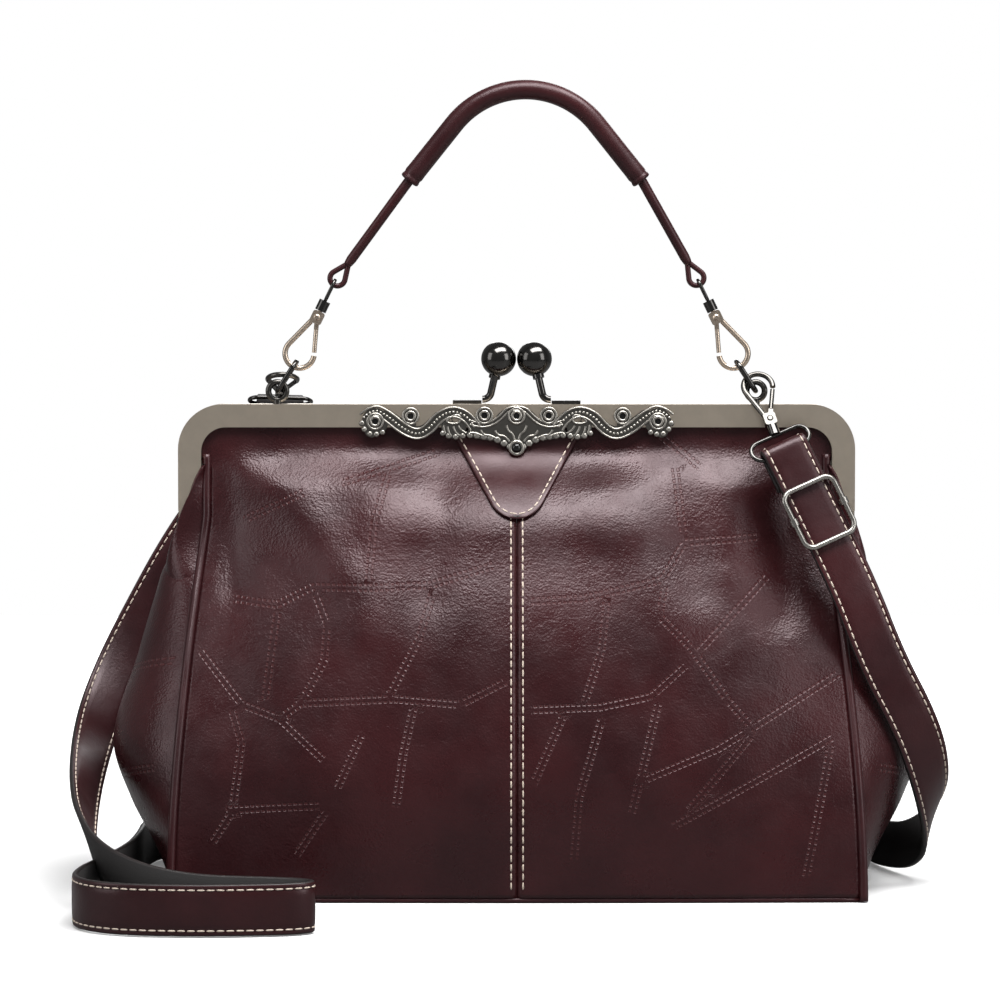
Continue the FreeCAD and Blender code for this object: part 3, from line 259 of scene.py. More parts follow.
def add_object(name, data):
    """A new object in the scene."""
    obj = bpy.data.objects.new(name, data)
    scene.collection.objects.link(obj)
    return obj


def mesh_object(name, vertices, faces, materials, indices=None):
    """A smooth-shaded mesh object in the row frame."""
    mesh = bpy.data.meshes.new(name)
    mesh.from_pydata([tuple(v) for v in vertices], [], faces)
    for material in materials:
        mesh.materials.append(material)
    if indices is not None:
        mesh.polygons.foreach_set("material_index", indices)
    mesh.polygons.foreach_set("use_smooth", [True] * len(mesh.polygons))
    mesh.update()
    return add_object(name, mesh)


def grid_faces(rows, columns, closed=True, flip=False):
    """Quads of a grid stored row by row; closed joins its sides, and flip turns it over."""
    faces = []
    for r in range(rows - 1):
        low, high = r * columns, (r + 1) * columns
        for c in range(columns if closed else columns - 1):
            after = (c + 1) % columns
            faces.append((low + c, low + after, high + after, high + c))
    return [face[::-1] for face in faces] if flip else faces


def end_faces(rows, columns):
    """Faces over the first and the last row of a closed grid."""
    last = (rows - 1) * columns
    return [tuple(range(columns - 1, -1, -1)), tuple(range(last, last + columns))]


def join(parts):
    """One list of vertices and faces from several."""
    vertices, faces = [], []
    for points, more in parts:
        faces += [tuple(index + len(vertices) for index in face) for face in more]
        vertices += points
    return vertices, faces


def add_modifier(obj, kind, **settings):
    modifier = obj.modifiers.new(kind.lower(), kind)
    for name, value in settings.items():
        setattr(modifier, name, value)


def dress(obj, body, slot, *replaced):
    """Set a finished piece on its body and hide the CAD nodes it stands for; slot is not used."""
    if body:
        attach(obj, body)
    if replaced:
        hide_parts(*replaced)
    return obj


def tangents(points):
    """Direction of a line at each of its points."""
    last = len(points) - 1
    return [(points[min(i + 1, last)] - points[max(i - 1, 0)]).normalized()
            for i in range(last + 1)]


def turns(count):
    """Evenly spaced angles round a circle."""
    return [2 * pi * k / count for k in range(count)]


def circle(centre, first, second, radius, sides):
    """Points round a circle, from the two directions that span it."""
    return [centre + (first * cos(turn) + second * sin(turn)) * radius for turn in turns(sides)]


def tube_grid(points, radius, sides):
    """Rings of a round tube along points; radius is a number or one for each point."""
    radii = radius if hasattr(radius, "__len__") else [radius] * len(points)
    side = Vector((0, 1, 0))
    rings = []
    for point, tangent, reach in zip(points, tangents(points), radii):
        side = (side - tangent * side.dot(tangent)).normalized()
        rings += circle(point, side, tangent.cross(side), reach, sides)
    return rings


def tube_object(name, points, radius, sides, material):
    """A round tube with closed ends."""
    faces = grid_faces(len(points), sides) + end_faces(len(points), sides)
    return mesh_object(name, tube_grid(points, radius, sides), faces, [material])


def spaced(points, normals, pitch):
    """Places along a line at an even pitch: middle, direction and outward normal of each."""
    places = []
    travelled, due = 0.0, pitch / 2
    for start, end, normal in zip(points, points[1:], normals):
        step = (end - start).length
        while step > 0 and due <= travelled + step:
            share = (due - travelled) / step
            places.append((start.lerp(end, share), (end - start).normalized(), normal))
            due += pitch
        travelled += step
    return places


# Sewn stitches: their sizes, and shares of length and radius at their rings
STITCH_PITCH = 3.6 * MM
STITCH_LENGTH = 2.9 * MM
STITCH_RADIUS = 0.36 * MM
STITCH_RINGS = ((-0.5, 0.25), (-0.3, 0.9), (0.3, 0.9), (0.5, 0.25))
STITCH_SIDES = 6
STITCH_INSET = 2 * MM
STITCH_SINK = 0.85


def stitch_row(points, normals):
    """Vertices and faces of sewn stitches, each a low bead lying on the surface."""
    count = len(STITCH_RINGS)
    faces = grid_faces(count, STITCH_SIDES) + end_faces(count, STITCH_SIDES)
    stitches = []
    for middle, along, normal in spaced(points, normals, STITCH_PITCH):
        across = along.cross(normal).normalized()
        bead = []
        for share, width in STITCH_RINGS:
            centre = middle + along * (share * STITCH_LENGTH)
            bead += circle(centre, across, normal, STITCH_RADIUS * width, STITCH_SIDES)
        stitches.append((bead, faces))
    return join(stitches)


def stitching(name, rows, body, slot):
    """One object of several stitch rows."""
    vertices, faces = join([stitch_row(points, normals) for points, normals in rows])
    return dress(mesh_object(name, vertices, faces, [thread]), body, slot)


# Camera, floor and light
CAMERA_PLACE = Vector((-0.0066, -1.5, 0.23))
CAMERA_PITCH = radians(2.92)
SENSOR_WIDTH = 36
FOCAL_PIXELS = 3750
IMAGE_PIXELS = 1000
FLOOR_HALF = 1.3
FLOOR_TONE, FLOOR_SEEN = (0.22, 0.22, 0.22, 1), (0.86, 0.86, 0.86, 1)
FLOOR_ROUGHNESS, FLOOR_SHINE = 0.8, 0.1
# Reach and strength of the floor's glow for the camera, near and far
GLOW_REACH, GLOW_STRENGTH = (0.2, 0.75), (0.12, 0.95)
WORLD_LIGHT, WORLD_SEEN = 0.21, 1.0
WHITE = (1, 1, 1, 1)
BAG_MIDDLE = (0, 0, 0.12)

camera_data = bpy.data.cameras.new("camera")
camera_data.sensor_width = SENSOR_WIDTH
camera_data.lens = SENSOR_WIDTH * FOCAL_PIXELS / IMAGE_PIXELS
camera = add_object("camera", camera_data)
camera.location = CAMERA_PLACE
camera.rotation_euler = (pi / 2 - CAMERA_PITCH, 0, 0)
scene.camera = camera
scene.view_settings.view_transform = "Standard"


def white_share(tree):
    """One where the camera looks, for a white background that sheds no extra light."""
    return add_node(tree, "ShaderNodeLightPath").outputs["Is Camera Ray"]


def make_floor():
    """Floor that fades to white round the part, for the camera only."""
    corners = [(x * FLOOR_HALF, y * FLOOR_HALF, 0) for x, y in ((-1, -1), (1, -1), (1, 1), (-1, 1))]
    material, tree, shader = new_material("floor_white")
    seen = white_share(tree)
    reach = add_node(tree, "ShaderNodeVectorMath", {0: object_place(tree)}, operation="LENGTH")
    glow = ramp(tree, reach.outputs["Value"], *GLOW_REACH, *GLOW_STRENGTH)
    set_inputs(tree, shader, {
        "Base Color": mix_colour(tree, seen, FLOOR_TONE, FLOOR_SEEN),
        "Roughness": FLOOR_ROUGHNESS, "Specular IOR Level": FLOOR_SHINE,
        "Emission Color": WHITE, "Emission Strength": math_node(tree, "MULTIPLY", seen, glow)})
    floor = mesh_object("floor", corners, [(0, 1, 2, 3)], [material])


def make_world():
    """White to the camera, and a soft even light on the part."""
    world = bpy.data.worlds.new("studio")
    world.use_nodes = True
    tree = world.node_tree
    strength = ramp(tree, white_share(tree), 0.0, 1.0, WORLD_LIGHT, WORLD_SEEN)
    set_inputs(tree, tree.nodes["Background"], {"Color": WHITE, "Strength": strength})
    scene.world = world


def area_light(name, place, target, width, height, power):
    data = bpy.data.lights.new(name, "AREA")
    data.shape = "RECTANGLE"
    data.size, data.size_y = width, height
    data.energy = power
    lamp = add_object(name, data)
    lamp.location = place
    lamp.rotation_euler = (Vector(target) - Vector(place)).to_track_quat("-Z", "Y").to_euler()


make_floor()
make_world()
area_light("key", (0.14, -0.34, 1.0), (0, -0.04, 0.12), 1.0, 0.42, 19.0)
area_light("left_fill", (-1.0, -0.5, 0.5), BAG_MIDDLE, 0.5, 0.8, 3.0)
area_light("right_fill", (1.0, -0.7, 0.5), BAG_MIDDLE, 0.5, 0.8, 4.5)
area_light("back_fill", (0.2, 1.1, 0.7), BAG_MIDDLE, 0.9, 0.6, 6.0)

# Shoulder strap: the route's points in mm and the direction of the strap's width at each,
# as the CAD solid has them
STRAP_WIDTH = 19 * MM
STRAP_LEATHER = 2.2 * MM
ON_EDGE = (0, 0, 1)
STRAP_FLOOR = 10.1
RIGHT_WIDTH = (0.891, 0.241, 0.385)
LEFT_WIDTH = (-0.996, -0.082, 0.03)
# From the right hook's eye down to the floor, along it, and up to the left hook's eye
RIGHT_END = ((111.54, -22.19, 160.93), (107.46, -20.57, 169.35), (104.28, -19.3, 175.94),
             (104.94, -23.6, 177.09), (108.13, -24.87, 170.5), (118.22, -28.88, 149.66),
             (131.96, -34.34, 121.28))
RIGHT_FALL = (
    ((143, -38, 92), (0.92, 0.1, 0.38)), ((157, -36, 66), (0.8, 0.15, 0.58)),
    ((164, -28, 44), (0.6, 0.2, 0.77)), ((166, -12, 26), (0.3, 0.1, 0.95)),
    ((160, 8, 13), ON_EDGE),
)
ON_FLOOR = ((150, 36), (146, 62), (112, 77), (50, 74), (-10, 72), (-65, 74), (-112, 77),
            (-147, 64), (-153, 36), (-152, 4), (-153, -30), (-159, -64), (-166, -94),
            (-165, -119), (-149, -134), (-121, -138), (-95, -136), (-80, -133), (-74.5, -127),
            (-80, -121), (-97, -117), (-120, -113))
LEFT_RISE = (
    ((-141, -106, 13), ON_EDGE),
    ((-157, -88, 18.5), (-0.2, 0, 0.98)), ((-167, -58, 27), (-0.35, 0, 0.94)),
    ((-171, -28, 38), (-0.5, 0, 0.87)), ((-172, 0, 50), (-0.62, 0, 0.78)),
    ((-170, 23, 64), (-0.74, 0, 0.67)), ((-163, 37, 84), (-0.82, 0.1, 0.56)),
    ((-152, 44, 106), (-0.87, 0, 0.49)), ((-139, 47, 130), (-0.88, 0, 0.47)),
    ((-124, 48, 152), (-0.92, 0, 0.4)), ((-110, 46, 170), (-0.95, 0, 0.3)),
)
LEFT_END = ((-96.87, 36.1, 188.85), (-96.33, 31.76, 194.85), (-96.11, 28.13, 192.2),
            (-96.65, 32.47, 186.2), (-97.33, 38.02, 178.52))
STRAP_ROUTE = (
    *((point, RIGHT_WIDTH) for point in RIGHT_END), *RIGHT_FALL,
    *(((x, y, STRAP_FLOOR), ON_EDGE) for x, y in ON_FLOOR),
    *LEFT_RISE, *((point, LEFT_WIDTH) for point in LEFT_END),
)
STRAP_STEPS = 10


def nurbs_points(points, steps):
    """Points along the smooth open spline that control points draw."""
    curve = bpy.data.curves.new("route", "CURVE")
    curve.dimensions = "3D"
    curve.resolution_u = steps
    spline = curve.splines.new("NURBS")
    spline.points.add(len(points) - 1)
    for place, point in zip(spline.points, points):
        place.co = (*point, 1.0)
    spline.order_u = 3
    spline.use_endpoint_u = True
    route = bpy.data.objects.new("route", curve)
    mesh = bpy.data.meshes.new_from_object(route)
    line = [v.co.copy() for v in mesh.vertices]
    bpy.data.objects.remove(route)
    bpy.data.curves.remove(curve)
    bpy.data.meshes.remove(mesh)
    return line


def strap_profile():
    """Section of the strap: places across and out of it, and how many of them are its face."""
    half, thick = STRAP_WIDTH / 2, STRAP_LEATHER / 2
    side = [(half, 0.45 * thick), (half - 0.35 * MM, 0.85 * thick), (half - 1.2 * MM, thick),
            (half - STITCH_INSET, 0.72 * thick), (half - 2.8 * MM, thick),
            (0.5 * half, 1.12 * thick)]
    face = side + [(0.0, 1.15 * thick)] + [(-w, n) for w, n in reversed(side)]
    under = [(-half, -0.5 * thick), (-half + 0.5 * MM, -thick), (0.0, -thick),
             (half - 0.5 * MM, -thick), (half, -0.5 * thick)]
    return face + under, len(face)


def make_strap():
    """Flat strap with a domed face, sunk stitch lines and painted edges."""
    line = nurbs_points([Vector(point) * MM for point, width in STRAP_ROUTE], STRAP_STEPS)
    widths = nurbs_points([Vector(width) for point, width in STRAP_ROUTE], STRAP_STEPS)
    profile, on_face = strap_profile()
    sides = len(profile)
    edge = (0, on_face - 2, on_face - 1, on_face, sides - 2, sides - 1)
    back = (on_face + 1, on_face + 2)
    stitch_reach = STRAP_WIDTH / 2 - STITCH_INSET
    stitch_height = STITCH_SINK * STRAP_LEATHER / 2
    vertices, rows = [], {1: ([], []), -1: ([], [])}
    for point, tangent, width in zip(line, tangents(line), widths):
        across = (width - tangent * width.dot(tangent)).normalized()
        normal = tangent.cross(across)
        vertices += [point + across * w + normal * n for w, n in profile]
        for hand, (points, normals) in rows.items():
            points.append(point + across * (hand * stitch_reach) + normal * stitch_height)
            normals.append(normal)
    faces = grid_faces(len(line), sides)
    indices = [1 if f % sides in edge else 2 if f % sides in back else 0 for f in range(len(faces))]
    strap = mesh_object("strap", vertices, faces + end_faces(len(line), sides),
                        [trim_leather, edge_paint, strap_back], indices + [1, 1])
    dress(strap, "bag", "strap_leather", "shoulder_strap")
    sewing = stitching("strap_stitching", rows.values(), "bag", "strap_leather")
    on_strap = [sewing, "slider_frame", "slider_bar"]
    on_strap += [f"strap_hook_{side}_{piece}" for side in ("left", "right")
                 for piece in ("body", "gate", "rivet", "swivel")]


make_strap()


# Leather body

def body_levels():
    """Height, corner half width and half depth, front bulge and gusset bulge of every level."""
    slot_depth = SLOT_MIDDLE + LEATHER / 2
    levels = []
    for share, depth, front, side in LOWER_LEVELS:
        height = FLOOR_TOP + share * (GUSSET_TOP - FLOOR_TOP)
        wide = BASE_HALF_WIDTH + share ** CORNER_CURVE * (MOUTH_HALF_WIDTH - BASE_HALF_WIDTH)
        levels.append((height, wide, depth * BASE_HALF_DEPTH, front * FRONT_BULGE,
                       side * GUSSET_BULGE))
    last_depth = levels[-1][2]
    for share, front in UPPER_LEVELS:
        levels.append((GUSSET_TOP + share * (STRAIGHT_START - GUSSET_TOP), MOUTH_HALF_WIDTH,
                       last_depth + share * (slot_depth - last_depth), front * FRONT_BULGE, 0.0))
    levels.append((STRAIGHT_START, MOUTH_HALF_WIDTH, slot_depth, FLAT_BULGE, 0.0))
    levels.append((LEATHER_TOP, MOUTH_HALF_WIDTH + SEAM_ROOM, slot_depth, FLAT_BULGE, 0.0))
    return levels


LEVELS = body_levels()


def level_at(height):
    """Half width, half depth, front bulge and gusset bulge, smoothly between the levels."""
    index = max(i for i, level in enumerate(LEVELS[:-1]) if level[0] <= height or i == 0)
    before, low, high, after = (LEVELS[max(0, min(i, len(LEVELS) - 1))]
                                for i in range(index - 1, index + 3))
    span = high[0] - low[0]
    t = unit((height - low[0]) / span)
    values = []
    for a, b, c, d in zip(before[1:], low[1:], high[1:], after[1:]):
        start = (c - a) / max(high[0] - before[0], span) * span
        end = (d - b) / max(after[0] - low[0], span) * span
        values.append((2 * t ** 3 - 3 * t ** 2 + 1) * b + (t ** 3 - 2 * t ** 2 + t) * start
                      + (3 * t ** 2 - 2 * t ** 3) * c + (t ** 3 - t ** 2) * end)
    return values


def bulge_at(across, half_chord, bulge):
    """How far an arc, or a deep ellipse, stands out over a chord at a place along it."""
    if bulge < FLAT_BULGE:
        return 0.0
    if bulge > half_chord:
        return bulge * sqrt(max(1 - (across / half_chord) ** 2, 0.0))
    radius = (half_chord ** 2 + bulge ** 2) / (2 * bulge)
    return sqrt(max(radius ** 2 - across ** 2, 0.0)) - (radius - bulge)


# Soft folds of the front and back: a ridge or dent from one point to another, with its breadth
# and height, in mm. They fade out below the frame and above the floor.
FOLDS = (
    ((-100, 168), (-70, 128), 11, 2.0), ((-118, 160), (-112, 120), 7, -1.5),
    ((-52, 165), (-60, 110), 13, 1.6), ((-30, 158), (-34, 118), 8, -1.2),
    ((32, 160), (60, 110), 12, 1.8), ((62, 166), (72, 120), 9, -1.4),
    ((88, 164), (84, 128), 10, 1.5), ((112, 162), (104, 110), 8, -1.6),
    ((-90, 60), (-40, 40), 20, 1.2), ((40, 50), (100, 70), 22, 1.2),
    ((-110, 90), (-90, 30), 14, -0.8), ((112, 80), (96, 24), 14, -0.8),
)
FOLD_TOP_FADE = 12 * MM
FOLD_FLOOR_FADE = 15 * MM


def fold_at(x, z):
    """Offset of the leather at a place on the front, in metres."""
    place = Vector((x, z))
    total = 0.0
    for start, end, breadth, height in FOLDS:
        a, b = Vector(start) * MM, Vector(end) * MM
        along = b - a
        near = a + along * unit((place - a).dot(along) / along.length_squared)
        gap = (place - near).length / (breadth * MM)
        total += height * MM * exp(-gap * gap)
    top_fade = unit((STRAIGHT_START - z) / FOLD_TOP_FADE)
    return total * top_fade * unit((z - FLOOR_TOP) / FOLD_FLOOR_FADE)


# Roll of leather just below the frame, beside the ornament
ROLL_MIDDLE = 165 * MM
ROLL_BREADTH = 10 * MM
ROLL_HEIGHT = 2.4 * MM
ROLL_START = 30 * MM
ROLL_RISE = 30 * MM

# Seam groove, fade of all soft form at the corners, and steps over which levels are averaged
GROOVE_DEPTH = 0.5 * MM
GROOVE_BREADTH = 1.6 * MM
EDGE_FADE = 14 * MM
SOFT_STEPS = [step * 2 * MM for step in (-3, -2, -1, 0, 1, 2, 3)]


def sharp_depth(x, z):
    """How far the front stands out, straight from the levels."""
    wide, depth, front = level_at(z)[:3]
    return depth + bulge_at(min(abs(x), wide), wide, front)


def soft_depth(x, z):
    """The same, with the levels' change of slope softened."""
    heights = [min(max(z + step, FLOOR_TOP), LEATHER_TOP) for step in SOFT_STEPS]
    return sum(sharp_depth(x, height) for height in heights) / len(heights)


def front_point(x, z, facing):
    """A place on the front or back leather, with its roll, folds and seam groove."""
    edge_fade = unit((level_at(z)[0] - abs(x)) / EDGE_FADE)
    groove = GROOVE_DEPTH * exp(-(x / GROOVE_BREADTH) ** 2)
    roll = ROLL_HEIGHT * exp(-((z - ROLL_MIDDLE) / ROLL_BREADTH) ** 2)
    roll *= unit((abs(x) - ROLL_START) / ROLL_RISE) * edge_fade
    sharp = sharp_depth(x, z)
    face = sharp + (soft_depth(x, z) - sharp) * edge_fade
    return Vector((x, facing * (face + roll + fold_at(x * -facing, z) * edge_fade - groove), z))


# Pressed patchwork seams, in mm: X and Z on the front, Y and Z on the gussets
FRONT_SEAMS = (
    ((-109, 146), (-83, 158)), ((-70, 161), (-31, 173)), ((-56, 147), (-51, 165)),
    ((-58, 124), (-56, 147)),
    ((-113, 116), (-94, 114), (-80, 121), (-56, 121), (-34, 122), (-8, 130)),
    ((-79, 119), (-74, 107), (-75, 93), (-84, 77)), ((-94, 111), (-98, 78)),
    ((-124, 96), (-107, 76), (-92, 71)),
    ((-92, 71), (-84, 77), (-48, 79), (-22, 77), (-4, 86)), ((-92, 71), (-74, 55)),
    ((-33, 119), (-38, 102), (-50, 79)), ((-40, 76), (-44, 58), (-47, 36)),
    ((-60, 66), (-70, 44)), ((-111, 74), (-107, 62), (-110, 38)), ((-112, 36), (-76, 38)),
    ((-110, 36), (-119, 22)), ((-74, 36), (-86, 18)),
    ((56, 181), (73, 167)), ((63, 167), (66, 140)),
    ((66, 138), (57, 124), (26, 117), (4, 116)), ((66, 138), (96, 140)),
    ((58, 122), (56, 112)), ((35, 116), (33, 98), (26, 77)), ((56, 110), (68, 98), (82, 78)),
    ((69, 95), (100, 126)), ((4, 75), (32, 76), (52, 80), (66, 92)), ((18, 73), (6, 46)),
    ((33, 72), (24, 42), (22, 16)), ((55, 78), (44, 34)), ((82, 78), (91, 68)),
    ((46, 47), (78, 60), (92, 68), (127, 88)), ((66, 36), (92, 66)),
    ((60, 30), (90, 46), (124, 64)), ((112, 10), (122, 60)),
)
GUSSET_SEAMS = (((-12, 44), (-42, 51)), ((-30, 92), (4, 84), (26, 90)), ((14, 30), (40, 40)))
# Beyond this band a seam makes no mark
SEAM_BAND = 4 * MM
NO_SEAM = 1.0


def mark_seams(obj, places, seams):
    """Distance from the nearest pressed seam and length along it, for every vertex."""
    across_values, along_values = [], []
    for place in places:
        best = (NO_SEAM, 0.0)
        for seam in seams:
            travelled = 0.0
            for start, end in zip(seam, seam[1:]):
                a, b = Vector(start) * MM, Vector(end) * MM
                reach = (b - a).length
                way = (b - a) / reach
                along = (place - a).dot(way)
                across = (place - a).cross(way) if 0 <= along <= reach else NO_SEAM
                if abs(across) < abs(best[0]):
                    best = (across, travelled + along)
                travelled += reach
        near = abs(best[0]) < SEAM_BAND
        across_values.append(best[0] if near else copysign(NO_SEAM, best[0]))
        along_values.append(best[1])
    for name, values in (("seam_across", across_values), ("seam_along", along_values)):
        obj.data.attributes.new(name, "FLOAT", "POINT").data.foreach_set("value", values)


def leather_sheet(name, vertices, faces, thickness=LEATHER):
    """Panel leather with a lined back, thickened inwards."""
    sheet = mesh_object(name, vertices, faces, [panel_leather, lining_cloth])
    add_modifier(sheet, "SOLIDIFY", thickness=thickness, offset=-1, material_offset=1)
    return sheet


PANEL_ROWS = 110
PANEL_COLUMNS = 72
PANEL_INSET = 0.6 * SEAM_ROOM
PANEL_GAP = 0.1 * MM
# Just below the frame's top the panels run into the slots of its legs
TUCK_START = 166 * MM
TUCK_RISE = 6 * MM
TUCK = 5 * MM


def make_panel(name, hand, facing):
    """Half of the front or back, from the centre seam to the corner."""
    vertices = []
    for z in spread(FLOOR_TOP, LEATHER_TOP, PANEL_ROWS):
        tuck = unit((z - TUCK_START) / TUCK_RISE)
        wide = level_at(z)[0] - PANEL_INSET + TUCK * tuck * tuck * (3 - 2 * tuck)
        for share in spread(0.0, 1.0, PANEL_COLUMNS):
            x = hand * (wide * share + PANEL_GAP * (1 - share))
            vertices.append(front_point(x, z, facing))
    faces = grid_faces(PANEL_ROWS, PANEL_COLUMNS, closed=False, flip=hand * facing > 0)
    panel = leather_sheet(name + "_leather", vertices, faces)
    mark_seams(panel, [Vector((-facing * v.x, v.z)) for v in vertices], FRONT_SEAMS)
    return panel


GUSSET_ROWS = 80
GUSSET_COLUMNS = 60
# Room above the gussets for the feet of the back jaw when it opens
HINGE_ROOM = 4 * MM


def make_gusset(side_name, hand):
    """Side of the bag, with its columns closer together towards the corners."""
    vertices = []
    for z in spread(FLOOR_TOP, GUSSET_TOP - HINGE_ROOM, GUSSET_ROWS):
        wide, depth, _, side = level_at(z)
        for turn in spread(-pi / 2, pi / 2, GUSSET_COLUMNS):
            y = depth * sin(turn)
            vertices.append(Vector((hand * (wide + bulge_at(y, depth, side)), y, z)))
    faces = grid_faces(GUSSET_ROWS, GUSSET_COLUMNS, closed=False, flip=hand < 0)
    gusset = leather_sheet(f"gusset_{side_name}_leather", vertices, faces)
    mark_seams(gusset, [Vector((v.y, v.z)) for v in vertices], GUSSET_SEAMS)
    dress(gusset, "bag", "leather", f"gusset_{side_name}")


# Outer edge of the leather that folds over the foot of the frame: height, distance from the
# middle and depth, in mm
EAR_EDGE = ((112, 140.5, 2), (120, 140.8, -2), (130, 140, -5.5), (138, 137.6, -8.2),
            (145, 135.3, -8.6), (152, 132.6, -8.4), (159, 129, -8), (165, 125.8, -7.4),
            (168, 124, -6.4))
EAR_STEPS = 5
EAR_COLUMNS = 14
EAR_LEATHER = 1.2 * MM
EAR_FULLNESS = 1.2 * MM
# The lower end sinks into the gusset, by this much and over these heights
EAR_SINK = 2.5 * MM
EAR_SINK_TOP = 126 * MM
EAR_SINK_RANGE = 12 * MM


def make_ear(side_name, hand):
    """Leather folded over a foot of the frame, from the front corner round to its own edge."""
    edge = nurbs_points([Vector((hand * x, y, z)) * MM for z, x, y in EAR_EDGE], EAR_STEPS)
    vertices = []
    for outer in edge:
        wide, depth = level_at(outer.z)[:2]
        sink = unit((EAR_SINK_TOP - outer.z) / EAR_SINK_RANGE)
        inner = Vector((hand * wide, EAR_SINK * sink - depth, outer.z))
        for turn in spread(0.0, pi / 2, EAR_COLUMNS):
            place = Vector((inner.x + (outer.x - inner.x) * sin(turn),
                            outer.y + (inner.y - outer.y) * cos(turn), outer.z))
            place.y -= EAR_FULLNESS * sin(2 * turn) * (1 - sink)
            vertices.append(place)
    faces = grid_faces(len(edge), EAR_COLUMNS, closed=False, flip=hand < 0)
    ear = leather_sheet(f"gusset_{side_name}_ear", vertices, faces, EAR_LEATHER)
    dress(ear, "bag", "leather")


PIPING_FOOT = 0.5 * MM
PIPING_TOP = STRAIGHT_START + 1.5 * MM
PIPING_POINTS = 90
PIPING_SIDES = 12


def piping_line(hand, facing):
    """Points up a corner seam."""
    line = []
    for z in spread(PIPING_FOOT, PIPING_TOP, PIPING_POINTS):
        wide, depth = level_at(max(z, FLOOR_TOP))[:2]
        line.append(Vector((hand * wide, facing * depth, z)))
    return line


for side_name, hand in (("left", -1), ("right", 1)):
    make_gusset(side_name, hand)
    make_ear(side_name, hand)
    for face_name, facing in (("front", -1), ("back", 1)):
        panel_node = f"{face_name}_panel_{side_name}"
        piping_node = f"piping_{face_name}_{side_name}"
        panel = make_panel(panel_node, hand, facing)
        cord = tube_object(piping_node + "_cord", piping_line(hand, facing), PIPING_RADIUS,
                           PIPING_SIDES, trim_leather)
        for obj, slot, node in ((panel, "leather", panel_node), (cord, "piping", piping_node)):
            if face_name == "back":
                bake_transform(obj)
            dress(obj, "bag" if face_name == "front" else None, slot, node)


# Bottom, lining and centre seam. The bottom's edge is given as height and inset, in mm.
BOTTOM_EDGE = ((0.0, 0.7), (0.2, 0.3), (0.7, 0.0), (1.4, 0.0), (1.85, 0.3), (2.0, 0.7))
LINING_INSET = LEATHER + 0.7 * MM
LINING_FOOT = 4.7 * MM
LINING_TOP = 129 * MM
LINING_ROWS = 60
LINING_CLOTH = 0.5 * MM
SEAM_TOP, SEAM_FOOT = 166 * MM, 5 * MM
SEAM_REACH = 2.3 * MM
SEAM_POINTS = 120
OUTLINE_STEPS = 24


def outline_at(z, inset):
    """Points round all four sides at one height, drawn in by an inset."""
    wide, depth, front, side = level_at(max(z, FLOOR_TOP))
    wide, depth = wide - inset, depth - inset
    shares = [2 * k / OUTLINE_STEPS - 1 for k in range(OUTLINE_STEPS)]
    points = [Vector((wide + bulge_at(depth * s, depth, side), depth * s, z)) for s in shares]
    points += [Vector((-wide * s, depth + bulge_at(wide * s, wide, front), z)) for s in shares]
    return points + [Vector((-p.x, -p.y, z)) for p in points]


def make_bottom():
    """Leather bottom with softly rounded edges."""
    rings = [outline_at(z * MM, inset * MM) for z, inset in BOTTOM_EDGE]
    count = len(rings[0])
    faces = grid_faces(len(rings), count) + end_faces(len(rings), count)
    bottom = mesh_object("bottom_leather", sum(rings, []), faces, [trim_leather])
    dress(bottom, "bag", "leather", "bottom_panel")


def make_lining():
    """Inner bag with a floor, a little loose inside the leather."""
    rings = [outline_at(z, LINING_INSET) for z in spread(LINING_FOOT, LINING_TOP, LINING_ROWS)]
    count = len(rings[0])
    faces = grid_faces(LINING_ROWS, count, flip=True) + [tuple(range(count))]
    lining = mesh_object("lining_cloth", sum(rings, []), faces, [lining_cloth])
    add_modifier(lining, "SOLIDIFY", thickness=LINING_CLOTH, offset=1)
    dress(lining, "bag", "lining", "lining")


def centre_seam(facing):
    """Points and normals of the two stitch rows beside the centre seam."""
    rows = []
    for hand in (-1, 1):
        points = [front_point(hand * SEAM_REACH, z, facing)
                  for z in spread(SEAM_FOOT, SEAM_TOP, SEAM_POINTS)]
        normals = [Vector((0, facing * t.z, -facing * t.y)).normalized() for t in tangents(points)]
        rows.append((points, normals))
    return rows


make_bottom()
make_lining()
stitching("front_seam_stitching", centre_seam(-1), "bag", "leather")
back_sewing = stitching("back_seam_stitching", centre_seam(1), None, "leather")
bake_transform(back_sewing)

# Tab under the ornament
TAB_TOP = 182.3 * MM
TAB_HALF_WIDTH = 27 * MM
TAB_TIP = 147.5 * MM
TAB_TIP_RADIUS = 12 * MM
TAB_TIP_HALF_WIDTH = 0.05 * MM
TAB_LIFT = 1.8 * MM
TAB_LEATHER = 1.3 * MM
TAB_COLUMNS = 41
TAB_SIDE_STEPS = 24
TAB_TIP_STEPS = 20
# How far the rim is pressed down, and over what breadth
TAB_RIM_DROP = 0.5 * MM
TAB_RIM_BREADTH = 0.5 * MM
TAB_STITCH_NORMAL = Vector((0, -1, 0.25)).normalized()


def tab_edge():
    """Half outline of the tab from its top corner to the tip: distance from the middle, height."""
    centre = TAB_TIP + TAB_TIP_RADIUS
    rise = TAB_TOP - centre
    reach = hypot(TAB_HALF_WIDTH, rise)
    angle = atan2(rise, TAB_HALF_WIDTH) - acos(TAB_TIP_RADIUS / reach)
    sweep = -pi / 2 - angle
    bends = [angle + sweep * i / TAB_TIP_STEPS for i in range(TAB_TIP_STEPS)]
    tip = [(TAB_TIP_RADIUS * cos(bend), centre + TAB_TIP_RADIUS * sin(bend)) for bend in bends]
    across, height = tip[0]
    side = [(TAB_HALF_WIDTH + (across - TAB_HALF_WIDTH) * i / TAB_SIDE_STEPS,
             TAB_TOP + (height - TAB_TOP) * i / TAB_SIDE_STEPS) for i in range(TAB_SIDE_STEPS)]
    return side + tip + [(TAB_TIP_HALF_WIDTH, TAB_TIP)]


